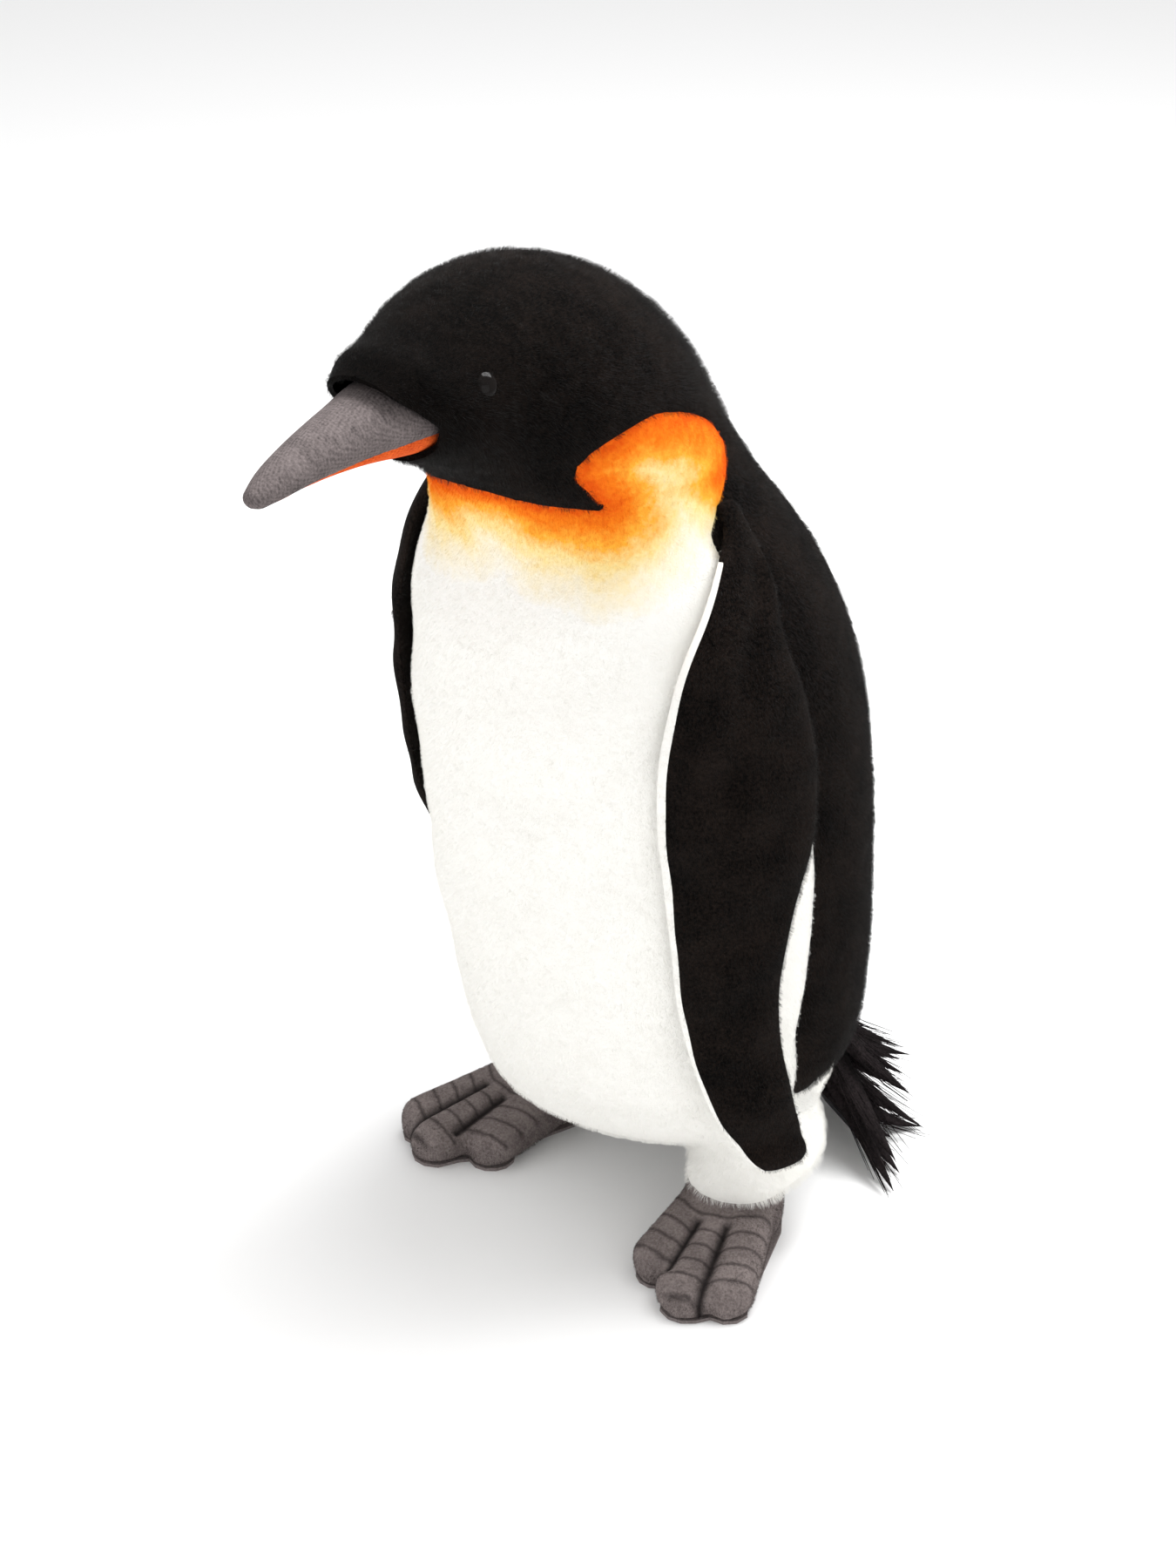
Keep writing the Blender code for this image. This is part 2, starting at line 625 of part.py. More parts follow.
def add_flippers(mats):
    for side, sign in (("left", 1), ("right", -1)):
        rows = flipper_rows(side)
        add_flipper_shell(f"flipper_{side}_outer", rows, sign, "outer", mats["black_plush"])
        add_flipper_shell(f"flipper_{side}_lining", rows, sign, "lining", mats["white_plush"])
        fill = []
        for row in rows[1:-1]:
            turns = seam_turns(row, "outer") + seam_turns(row, "lining")
            fill.append(flipper_ring(row, sign, FLIPPER_SKIN + FLIPPER_FILL_GAP, turns))
        add_solid(f"flipper_{side}_stuffing", fill, mats["fibre_fill"])


# ---------------------------------------------------------------- feet
def foot_to_world(sideways, forward, height, side):
    """World point from a foot's own axes, whose origin is on the floor under the ankle."""
    ankle_x, ankle_y, splay = STANCE[side]
    turn = math.radians(splay)
    out = sideways * math.cos(turn) + forward * math.sin(turn)
    back = sideways * math.sin(turn) - forward * math.cos(turn)
    return Vector((ankle_x + math.copysign(out, out * ankle_x), ankle_y + back, height))


def capsule_reach(direction, end, radius):
    """Distance from a capsule's first centre to its edge, in a direction."""
    length = math.hypot(*end)
    beta = direction - math.atan2(end[0], end[1])
    if math.cos(beta) <= 0:
        return radius
    side = radius / max(abs(math.sin(beta)), 1e-9)
    if side * math.cos(beta) <= length:
        return side
    return length * math.cos(beta) + math.sqrt(max(radius**2 - (length * math.sin(beta))**2, 0))


def foot_outline(shrink=0.0):
    """Plan of the foot: a heel and three toes that fan from the middle, as (sideways, forward)."""
    lobes = [(s, tip - r, r) for s, tip, r in TOES]
    lobes.append((HEEL[0], HEEL[1] + HEEL[2], HEEL[2]))
    points = []
    for k in range(FOOT_SIDES):
        a = 2 * math.pi * k / FOOT_SIDES
        reach = max(capsule_reach(a, (s - FOOT_CENTRE[0], f - FOOT_CENTRE[1]), r - shrink)
                    for s, f, r in lobes)
        points.append((FOOT_CENTRE[0] + reach * math.sin(a), FOOT_CENTRE[1] + reach * math.cos(a)))
    return points


def foot_ring(share, shrink, side, floor):
    """Ring between the ankle (share 0) and the sole's edge (share 1)."""
    outline = foot_outline(shrink)
    line = ANKLE_Z + (TOE_Z - ANKLE_Z) * share - shrink * share
    height = floor + (line - floor) * (1 - share**5) ** 0.2
    ring = []
    for k, (s, f) in enumerate(outline):
        a = 2 * math.pi * k / FOOT_SIDES
        ankle = ((ANKLE_R - shrink) * math.sin(a), (ANKLE_R - shrink) * math.cos(a))
        ring.append(foot_to_world(ankle[0] + (s - ankle[0]) * share,
                                  ankle[1] + (f - ankle[1]) * share, height, side))
    return ring


def flat_ring(outline, height, side):
    return [foot_to_world(s, f, height, side) for s, f in outline]


def add_feet(mats):
    rim = SOLE_T + GAP
    board_top = rim + BOARD_T
    for side in STANCE:
        outer = [foot_ring(g, 0.0, side, rim) for g in FOOT_SHARES]
        inner = [foot_ring(g, FOOT_SKIN, side, rim) for g in FOOT_SHARES]
        add_shell(f"foot_{side}_upper", outer, inner, mats["foot_plush"])
        sole = foot_outline()
        add_solid(f"foot_{side}_sole", [flat_ring(sole, z, side) for z in (0.0, SOLE_T)],
                  mats["sole_felt"])
        board = foot_outline(BOARD_INSET)
        add_solid(f"insole_{side}_board",
                  [flat_ring(board, z, side) for z in (rim, board_top)], mats["insole_board"])
        fill = []
        for share, height in ((1.0, board_top + FILL_GAP), *FOOT_FILL):
            ring = foot_ring(share, FOOT_SKIN + FOOT_FILL_GAP, side, rim)
            fill.append([Vector((p.x, p.y, height)) for p in ring])
        stuffing = add_solid(f"foot_{side}_stuffing", fill, mats["fibre_fill"])
        boolean(stuffing, hoop_channel(), "DIFFERENCE")


# ---------------------------------------------------------------- legs
def leg_ring(side, height, radius):
    """Level ring round the leg, whose middle leans from the ankle to the hip."""
    share = min(max((height - ANKLE_Z) / (HIP_Z - ANKLE_Z), 0.0), 1.0)
    middle = [a + (h - a) * share for a, h in zip(STANCE[side], HIP[side])]
    return ring_about((*middle, height), (0, 0, 1), radius, LEG_SIDES)


def add_leg_hole(side):
    rings = [leg_ring(side, z, LEG_HOLE_R) for z in (HIP_Z, LEG_HOLE_TOP)]
    return as_cutter(add_solid(f"leg_hole_{side}", rings, None))


def add_legs(mats):
    body = as_cutter(add_solid("body_outside", body_rings(-GAP), None,
                               start=Vector(BASE_CENTRE) - Vector((0, 0, GAP))))
    for side in STANCE:
        outer = [leg_ring(side, *row) for row in LEG_PROFILE]
        inner = [leg_ring(side, z, r - SKIN) for z, r in LEG_PROFILE]
        cuff = add_shell(f"leg_{side}_cuff", outer, inner, mats["white_plush"])
        boolean(cuff, body, "DIFFERENCE")
        fill = [leg_ring(side, *row) for row in LEG_FILL]
        stuffing = add_solid(f"leg_{side}_stuffing", fill, mats["fibre_fill"])
        boolean(stuffing, hoop_channel(), "DIFFERENCE")


# ---------------------------------------------------------------- wires and ballast
def hoop_half(side, other):
    """From a foot up its leg to the hips."""
    toe = foot_to_world(0.0, WIRE_TOE, WIRE_FLOOR, side)
    heel = foot_to_world(0.0, 0.0, WIRE_FLOOR, side)
    hip = Vector((*HIP[side], HOOP_TOP_Z))
    other_hip = Vector((*HIP[other], HOOP_TOP_Z))
    return ([toe] + rounded_corner(toe, heel, hip, HEEL_BEND)
            + rounded_corner(heel, hip, other_hip, HIP_BEND))


def hoop_path():
    """From one foot up its leg, across the hips and down to the other foot."""
    return hoop_half("left", "right") + hoop_half("right", "left")[::-1]


def hoop_middle(height):
    """The point over the middle of the toy where the hoop crosses the hips."""
    left, right = HIP["left"], HIP["right"]
    share = left[0] / (left[0] - right[0])
    return Vector((0.0, left[1] + (right[1] - left[1]) * share, height))


def spine_path():
    low = hoop_middle(HOOP_TOP_Z + WIRE_R * 2 + GAP)
    return [low] + [(0.0, forward, height) for forward, height in SPINE]


def hoop_channel():
    existing = bpy.data.objects.get("hoop_channel")
    if existing:
        return existing
    return as_cutter(add_rod("hoop_channel", hoop_path(), WIRE_R + WIRE_CLEAR, WIRE_SIDES, None))


def spine_channel():
    existing = bpy.data.objects.get("spine_channel")
    if existing:
        return existing
    path = [Vector(p) for p in spine_path()]
    low_end, high_end = SPINE_FREE_ENDS
    path[0] = path[0] + (path[0] - path[1]) * low_end
    path[-1] = path[-1] + (path[-1] - path[-2]) * high_end
    return as_cutter(add_rod("spine_channel", path, WIRE_R + WIRE_CLEAR, WIRE_SIDES, None))


def add_wires(mats):
    add_rod("leg_wire", hoop_path(), WIRE_R, WIRE_SIDES, mats["steel_wire"])
    add_rod("spine_wire", spine_path(), WIRE_R, WIRE_SIDES, mats["steel_wire"])


def bag_rings(extra, low_z=None):
    rings = []
    for t in (math.radians(a) for a in (-66, -36, 0, 36, 66)):
        radius = BAG_R * math.cos(t) + extra
        height = BAG_Z + (BAG_HALF_T + extra) * math.sin(t)
        rings.append(ring_about((0, BASE_CENTRE[1], height), (0, 0, 1), radius, 24))
    if low_z is not None:
        upper = rings[2:]
        rings = [[Vector((p.x, p.y, low_z)) for p in upper[0]]] + upper
    return rings


def add_ballast(mats):
    add_solid("pellet_bag", bag_rings(0.0), mats["pellet_cloth"])


# ---------------------------------------------------------------- stuffing
def add_stuffing(mats):
    inset = SKIN + FILL_GAP
    rows = body_rows()
    neck = next(i for i, r in enumerate(rows) if r[1] > NECK_Z)
    face = next(i for i, r in enumerate(rows) if r[0] < HEAD_FILL_END)
    rings = [section_ring(r, SIDES, inset) for r in rows[:neck + 1]]
    rings[0] = [p + Vector((0, 0, inset)) for p in rings[0]]
    body = add_solid("body_stuffing", rings, mats["fibre_fill"])
    pocket = as_cutter(add_solid("bag_pocket", bag_rings(BAG_CLEAR, BAG_POCKET_FLOOR), None))
    for cutter in (pocket, hoop_channel(), spine_channel()):
        boolean(body, cutter, "DIFFERENCE")
    start = rows[neck] + (rows[neck + 1] - rows[neck]) * NECK_GAP_SHARE
    rings = [section_ring(r, SIDES, inset) for r in [start] + rows[neck + 1:face]]
    head = add_solid("head_stuffing", rings, mats["fibre_fill"])
    boolean(head, spine_channel(), "DIFFERENCE")
    for sign in (1, -1):
        boolean(head, add_eye_hole(sign, *WASHER_POCKET), "DIFFERENCE")


# ---------------------------------------------------------------- tail
def back_of_body(x, height):
    forward, _, _, half_width, _, back = body_row_at(height)
    return forward + back * math.sqrt(1 - (x / half_width)**2)


def tail_loop(psi, profile):
    """Upright slice through the tail, in the direction psi from straight back."""
    x = TAIL_ROOT_HALF * psi / math.radians(TAIL_SPREAD)
    y = back_of_body(x, TAIL_ROOT_Z) + TAIL_STAND_OFF
    middle, side = TAIL_LENGTH
    length = middle + (side - middle) * math.sin(psi)**2
    return [Vector((x + length * r * math.sin(psi), y + length * r * math.cos(psi), z))
            for r, z in profile]


def add_tail(mats):
    angles = [math.radians(a) for a in np.linspace(-TAIL_SPREAD, TAIL_SPREAD, TAIL_SLICES)]
    add_solid("tail_fur", [tail_loop(a, TAIL_FUR) for a in angles], mats["long_fur"])
    add_solid("tail_lining", [tail_loop(a, TAIL_LINING) for a in angles], mats["lining"])


# ---------------------------------------------------------------- label
def add_label(mats):
    loops = []
    near, far = LABEL_STAND_OFFS
    for height in np.linspace(*LABEL_HEIGHTS, 4):
        loop = []
        for out, spread in ((near, LABEL_ANGLES), (far, LABEL_ANGLES[::-1])):
            loop += [flank_point(height, math.radians(a), out, -1) for a in spread]
        loops.append(loop)
    add_solid("care_label", loops, mats["label_satin"])


# ---------------------------------------------------------------- placing and joints
def centre_on_floor():
    """Move everything level so that the whole toy sits over the origin."""
    for obj in bpy.data.objects:
        obj.data.transform(Matrix.Translation(CENTRE))


def put_origin(names, pivot):
    """Give moving pieces an origin on their joint's axis."""
    for name in names:
        obj = bpy.data.objects[name]
        obj.data.transform(Matrix.Translation(-pivot))
        obj.location = pivot


def place_joints():
    shift = Vector(CENTRE)
    height, angle, offset = FLIPPER_HINGE
    for side, sign in (("left", 1), ("right", -1)):
        pivot = flank_point(height, math.radians(angle), offset, sign) + shift
        put_origin([f"flipper_{side}_{layer}" for layer in ("outer", "lining", "stuffing")], pivot)
    tail_back = back_of_body(0.0, TAIL_ROOT_Z) + TAIL_STAND_OFF
    put_origin(["tail_fur", "tail_lining"], Vector((0.0, tail_back, TAIL_HINGE_Z)) + shift)


# ---------------------------------------------------------------- build
def build():
    clear_scene()
    mats = make_materials()
    add_skin_panels(mats)
    add_eyes(mats)
    add_beak(mats)
    add_flippers(mats)
    add_feet(mats)
    add_legs(mats)
    add_wires(mats)
    add_ballast(mats)
    add_stuffing(mats)
    add_tail(mats)
    add_label(mats)
    centre_on_floor()
    place_joints()


build()
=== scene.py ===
"""Looks of the standing plush penguin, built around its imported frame.

The plush is lofted in this script, puffed up by cloth simulation and cut into its sewn panels
where the frame's own panels meet. Units are metres, +Z up; the penguin faces -Y and its left
side is at +X.
"""

import math
import random

import bmesh
import bpy
import numpy as np
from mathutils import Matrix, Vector
from mathutils.bvhtree import BVHTree


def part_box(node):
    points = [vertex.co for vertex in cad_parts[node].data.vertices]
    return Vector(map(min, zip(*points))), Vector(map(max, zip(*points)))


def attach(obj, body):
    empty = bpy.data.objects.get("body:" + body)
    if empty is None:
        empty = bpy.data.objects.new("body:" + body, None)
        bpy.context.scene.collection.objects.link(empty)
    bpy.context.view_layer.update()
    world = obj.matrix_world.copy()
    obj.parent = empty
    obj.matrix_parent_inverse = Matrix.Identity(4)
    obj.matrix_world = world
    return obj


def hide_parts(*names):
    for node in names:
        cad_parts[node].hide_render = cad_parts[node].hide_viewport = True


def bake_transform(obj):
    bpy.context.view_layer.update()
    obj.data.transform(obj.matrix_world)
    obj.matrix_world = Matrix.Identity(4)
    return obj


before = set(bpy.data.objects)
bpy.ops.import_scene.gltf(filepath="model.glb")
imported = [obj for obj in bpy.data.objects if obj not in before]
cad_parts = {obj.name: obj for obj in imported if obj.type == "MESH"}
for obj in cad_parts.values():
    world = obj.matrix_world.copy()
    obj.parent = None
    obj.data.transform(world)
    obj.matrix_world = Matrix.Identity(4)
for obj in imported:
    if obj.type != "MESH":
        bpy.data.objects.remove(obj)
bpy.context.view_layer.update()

# -------------------- driving dimensions
CENTRE = np.array((0.0052, 0.0074, 0.0))  # the tables below are about the toy's own middle

# body: forward position, height, lean in degrees, half width, depth in front, depth behind
BODY = (
    (0.077, 0.061, 0, 0.055, 0.049, 0.050),
    (0.077, 0.071, 0, 0.088, 0.078, 0.082),
    (0.074, 0.100, 0, 0.110, 0.098, 0.105),
    (0.069, 0.160, 0, 0.123, 0.109, 0.114),
    (0.061, 0.230, 0, 0.129, 0.113, 0.114),
    (0.053, 0.300, 0, 0.130, 0.114, 0.115),
    (0.043, 0.365, 0, 0.124, 0.113, 0.113),
    (0.028, 0.420, 0, 0.108, 0.101, 0.104),
    (0.010, 0.462, 5, 0.089, 0.083, 0.085),
    (-0.009, 0.498, 15, 0.082, 0.075, 0.075),
    (-0.034, 0.527, 34, 0.080, 0.071, 0.072),
    (-0.066, 0.546, 58, 0.074, 0.061, 0.064),
    (-0.097, 0.552, 78, 0.061, 0.048, 0.050),
    (-0.126, 0.553, 90, 0.046, 0.036, 0.037),
    (-0.152, 0.553, 97, 0.0325, 0.0275, 0.0275),
    (-0.176, 0.551, 100, 0.0245, 0.0210, 0.0230),
)
UPRIGHT_ROWS = 10  # this many rows of BODY go up before it leans forward into the head
BODY_SIDES = 72
BODY_VOXEL = 0.0045
BODY_INSET = 0.0015  # the plush starts this much smaller and swells
BODY_SWELL = 0.0028  # the furthest that a point of the body may swell
SEAM_PIN = 0.0035  # plush nearer to a seam than this is held by it
SEAM_SINK = 0.0016  # the seam between black and white lies this deep
SEAM_WIDTH = 0.0045
BACK_SWELL = 0.0045  # black panels stand this much fuller than the frame's
HEAD_SWELL = 0.0010
BACK_TOP = 0.500  # height below which the back grows fuller than the head
BACK_FADE = 0.05
SWELL_FADE = 0.035  # the black panels' fullness grows over this distance from their seam
FRONT_DENT = 0.0016  # soft unevenness of the filling under the belly
DENT_FADE = 0.03  # it begins gradually over this distance from the seam
BROW_SWELL = 0.0040  # the hood bulges this far over the root of the beak
BROW_FROM = 0.530  # from this height up
BROW_FADE = 0.02
BROW_BEHIND = 0.019  # and most at this distance behind its edge
BROW_WIDTH = 0.014
THROAT_REACH = 0.075  # how far the sprayed colour goes from the hood's seam
THROAT_REAR_TOP = 0.487  # below this height it fades away beside the back's seam
THROAT_TAPER = 1.6  # and each metre down counts as this many from that seam
HEM_DEPTH = 0.003

# beak, in the body's columns
BEAK = (
    (-0.140, 0.550, 95, 0.0280, 0.0225, 0.0200),
    (-0.158, 0.550, 97, 0.0250, 0.0205, 0.0185),
    (-0.179, 0.5485, 99, 0.0195, 0.0165, 0.0160),
    (-0.199, 0.546, 102, 0.0160, 0.0128, 0.0140),
    (-0.219, 0.5425, 106, 0.0128, 0.0100, 0.0118),
    (-0.236, 0.5385, 110, 0.0098, 0.0080, 0.0090),
    (-0.2475, 0.5350, 114, 0.0064, 0.0054, 0.0054),
)
BEAK_TIP = (-0.2500, 0.5338)
BEAK_SIDES = 40
BEAK_VOXEL = 0.0018
BEAK_INSET = 0.0003
BEAK_SWELL = 0.0008
BEAK_ROOT = -0.150  # the cloth behind this is held still
BEAK_HEM_DEPTH = 0.0012
MOUTH_SINK = 0.0011
MOUTH_WIDTH = 0.0016
# side-view lines as (forward position, height)
HOOD_EDGE = ((-0.152, 0.515), (-0.148, 0.536), (-0.151, 0.549), (-0.168, 0.565), (-0.184, 0.590))
MOUTH = ((-0.260, 0.5280), (-0.236, 0.5330), (-0.210, 0.5368), (-0.180, 0.5405),
         (-0.150, 0.5435), (-0.120, 0.5430))

# flippers, downward: height, angle of the front edge for the left and the right flipper, angle
# covered, stand-off from the body and thickness
FLIPPER = (
    (0.474, 90, 82, 8, -0.0060, 0.0060),
    (0.462, 84, 77, 12, -0.0022, 0.0075),
    (0.448, 73, 70, 20, 0.0004, 0.0090),
    (0.415, 55, 63, 28, 0.0026, 0.0115),
    (0.365, 42, 64, 39, 0.0025, 0.0135),
    (0.315, 37.5, 67, 42, 0.0025, 0.0145),
    (0.275, 37.5, 68, 37, 0.0025, 0.0145),
    (0.235, 38.5, 73, 30, 0.0035, 0.0135),
    (0.190, 39.5, 82, 25.5, 0.0055, 0.0125),
    (0.150, 43, 92, 23.5, 0.0095, 0.0115),
    (0.120, 47.5, 97, 21, 0.0165, 0.0105),
    (0.099, 52.5, 101, 18.5, 0.0225, 0.0092),
    (0.087, 56, 105, 15.5, 0.0285, 0.0080),
    (0.081, 59, 107, 11, 0.0310, 0.0060),
)
# fold in the left flipper's outer face, as (forward position, height)
FLIPPER_FOLD = ((0.011, 0.444), (-0.010, 0.412), (-0.018, 0.384), (-0.024, 0.358),
                (-0.028, 0.332), (-0.029, 0.296))
FOLD_DEPTH = 0.0038
FOLD_WIDTH = 0.006
RIGHT_STAND_OFF = 0.0045  # the right flipper hangs this much further out
RIGHT_STAND_TOP = 0.410  # below this height
RIGHT_STAND_FADE = 0.08
FLIPPER_SIDES = 44
FLIPPER_EDGE = 0.0034  # half the thickness of its rounded edges
FLIPPER_SWELL = 0.003
FLIPPER_PRESSURE = 3.0
FLIPPER_DENT = 0.0026  # soft unevenness of the filling under its outer face
FLIPPER_TOP = 0.455  # the cloth above this is held still
# how far the black side goes round the section from the rear edge, as (height, degrees)
ALL_ROUND = 359
RIM_TURN = {
    "left": ((0.081, 148), (0.290, 148), (0.450, 155), (0.466, ALL_ROUND)),
    "right": ((0.081, 210), (0.300, 215), (0.400, 260), (0.430, ALL_ROUND)),
}

# feet: the ankle's place and the turn-out in degrees, then sizes in the foot's own axes
STANCE = {"left": (0.074, 0.051, 15), "right": (-0.093, 0.086, 15)}
TOES = ((-0.0240, 0.0740, 0.0140), (0.0010, 0.0985, 0.0160), (0.0230, 0.0905, 0.0130))
TOE_HEIGHT = (0.0205, 0.033)  # at the tip and at the ankle
TOE_ROOT = 0.45  # toes start this share of their sideways place from the middle
WEBS = ((-0.0105, 0.056), (0.0115, 0.060))  # plush that joins the toes behind
WEB_R = 0.0150
WEB_HEIGHT = (0.0215, 0.033)
HEEL = (0.030, 0.0245)  # reach and radius
HEEL_HEIGHT = (0.031, 0.034)
ANKLE = ((0.006, 0.0275), (0.020, 0.0285), (0.030, 0.0285), (0.038, 0.0275), (0.044, 0.0245))
SOLE_TOP = 0.0021
FOOT_VOXEL = 0.0024
FOOT_EXTRA = 0.0028  # the plush stands this far over the sole's edge
FOOT_SWELL = 0.0015
GROOVE_SINK = 0.0040
GROOVE_WIDTH = 0.0030
GROOVE_DARK = 0.0026  # half width of the dark colour in a groove
BAR_SPAN = 0.11  # length of foot over which the sprayed bars are spaced

# legs: height and radius, from the ankle's height to the hip's
LEG = ((0.0330, 0.0270), (0.0440, 0.0335), (0.0560, 0.0378), (0.0700, 0.0388), (0.0860, 0.0355),
       (0.1000, 0.0250))
LEG_SIDES = 40
ANKLE_Z = 0.036
HIP = {"left": (0.081, 0.060), "right": (-0.079, 0.084)}
HIP_Z = 0.054

# tail
TAIL_SPREAD = math.radians(92)
TAIL_ROOT_HALF = 0.046
TAIL_LENGTH = (0.054, 0.078)  # of a lock in the middle and at the sides
TAIL_LAYERS = 5
TAIL_LOCKS = 13  # in a layer
TAIL_STRANDS = 20  # thin ones beside a lock
TAIL_CLEAR = 0.002  # height over the floor

# eyes
EYE_R = 0.0076
EYE_FLAT = 0.55  # height of the dome as a share of its radius
EYE_SUNK = 0.0033  # how deep the eye is pulled into the pile
WASHER_DEPTH = 0.0060  # from the skin in to the middle of an eye's washer

# pile: length of the strands, how many grow on a square millimetre and which way they lie
PILE = {"head": 0.0044, "back": 0.0038, "front": 0.0024, "seat": 0.0024, "cuff": 0.0055,
        "flipper": 0.0032, "foot": 0.0015}
PILE_DENSITY = 1.1
FOOT_PILE_DENSITY = 1.6
DOWN = (0.0, 0.15, -1.0)
BACKWARD = (0.0, 0.9, -0.5)

# colours and the knit
BLACK_DARK = (0.0010, 0.0008, 0.0007)
BLACK_LIGHT = (0.0150, 0.0105, 0.0086)
FACE_SHADE_Y = (-0.150, -0.020)  # painted shade: the black pile's colour is made darker toward the face
FACE_SHADE_TONE = 0.30
WHITE = (0.93, 0.92, 0.885)
CREAM = (0.94, 0.86, 0.66)
FUR_DARK = (0.006, 0.005, 0.005)
FUR_LIGHT = (0.022, 0.017, 0.018)
COURSE = 0.0020  # rows of the knit
WALE = 0.0017  # ribs of the knit
THREAD = 0.0009  # spacing of a woven cloth's threads

# studio
CAMERA_AZIMUTH = math.radians(37)  # to the toy's left of its front
CAMERA_ELEVATION = math.radians(27)
CAMERA_REACH = 1.65
CAMERA_TARGET = Vector((0.0178, -0.0033, 0.30))
LENS = 70
SENSOR = 36  # height of the sensor
LIGHT_TARGET = Vector((0, 0, 0.3))
# place, width and power of each lamp
LIGHTS = {
    "key": ((0.35, 0.75, 2.5), 1.5, 78.0),
    "fill": ((-1.2, -2.0, 1.3), 1.8, 9.5),
    "side": ((2.4, -1.2, 1.2), 1.6, 6.0),
}
WORLD_STRENGTH = 0.77
FLOOR_GREY = 0.90
FLOOR_HALF = 6


# -------------------- curves and lofts
def spline(rows, per_span, plane=2):
    """Smooth curve through the rows, with a number of steps in every span.

    The spacing is measured in the first columns, two of them unless plane says otherwise.
    """
    rows = np.array(rows, float)
    knots = np.r_[0.0, np.cumsum(np.linalg.norm(np.diff(rows[:, :plane], axis=0), axis=1))]
    slopes = np.gradient(rows, knots, axis=0)
    out = []
    for i in range(len(rows) - 1):
        step = knots[i + 1] - knots[i]
        for t in np.arange(per_span) / per_span:
            out.append((2 * t**3 - 3 * t**2 + 1) * rows[i] + (t**3 - 2 * t**2 + t) * step * slopes[i]
                       + (3 * t**2 - 2 * t**3) * rows[i + 1]
                       + (t**3 - t**2) * step * slopes[i + 1])
    return np.array(out + [rows[-1]])


def round_angles(sides):
    return np.linspace(0, 2 * math.pi, sides, endpoint=False)


def section(row, sides, inset):
    """One cross-section of the body or the beak; angle 0 faces front, the left is at +90."""
    forward, height, lean, half_width, front, back = row
    angle = round_angles(sides)
    lean = math.radians(lean)
    depth = np.where(np.cos(angle) > 0, front, back) - inset
    across = -np.cos(angle) * depth
    return np.stack([(half_width - inset) * np.sin(angle), forward + across * math.cos(lean),
                     height + across * math.sin(lean)], 1) + CENTRE


def configure(target, **values):
    """Give several of something's settings their values, in this order."""
    for key, value in values.items():
        setattr(target, key, value)


def new_object(name, data):
    obj = bpy.data.objects.new(name, data)
    bpy.context.scene.collection.objects.link(obj)
    return obj


def mesh_object(name, verts, faces):
    mesh = bpy.data.meshes.new(name)
    mesh.from_pydata([tuple(v) for v in verts], [], faces)
    return new_object(name, mesh)


def loft(rings, offset=0):
    """Vertices and faces of a closed solid through rings of equal count."""
    sides = len(rings[0])
    faces = [tuple(offset + k for k in range(sides))[::-1]]
    for i in range(len(rings) - 1):
        a = offset + i * sides
        faces += [(a + k, a + (k + 1) % sides, a + sides + (k + 1) % sides, a + sides + k)
                  for k in range(sides)]
    last = offset + (len(rings) - 1) * sides
    faces.append(tuple(last + k for k in range(sides)))
    return np.concatenate(rings), faces


def union_of(name, solids):
    """One object that holds several lofted solids."""
    verts, faces, count = [], [], 0
    for rings in solids:
        v, f = loft(rings, count)
        verts.append(v)
        faces += f
        count += len(v)
    return mesh_object(name, np.concatenate(verts), faces)


def apply_modifiers(obj):
    """Replace an object's mesh by the one that its modifiers make of it."""
    bpy.context.view_layer.update()
    graph = bpy.context.evaluated_depsgraph_get()
    mesh = bpy.data.meshes.new_from_object(obj.evaluated_get(graph))
    old = obj.data
    obj.modifiers.clear()
    obj.data = mesh
    bpy.data.meshes.remove(old)


def remesh(obj, voxel, rounds):
    """Join what an object holds into one even skin, smoothed a number of rounds."""
    mod = obj.modifiers.new("remesh", "REMESH")
    mod.mode = "VOXEL"
    mod.voxel_size = voxel
    soft = obj.modifiers.new("soft", "SMOOTH")
    soft.factor = 0.5
    soft.iterations = rounds
    apply_modifiers(obj)


def coords(obj):
    out = np.empty(len(obj.data.vertices) * 3)
    obj.data.vertices.foreach_get("co", out)
    return out.reshape(-1, 3)


def set_coords(obj, co):
    obj.data.vertices.foreach_set("co", np.ascontiguousarray(co, float).ravel())
    obj.data.update()


def normals(obj):
    out = np.empty(len(obj.data.vertices) * 3)
    obj.data.vertex_normals.foreach_get("vector", out)
    return out.reshape(-1, 3)


def press(obj, depth):
    """Move every point inward by its own depth."""
    set_coords(obj, coords(obj) - normals(obj) * depth[:, None])


# -------------------- cloth
PUFF_FRAMES = 20


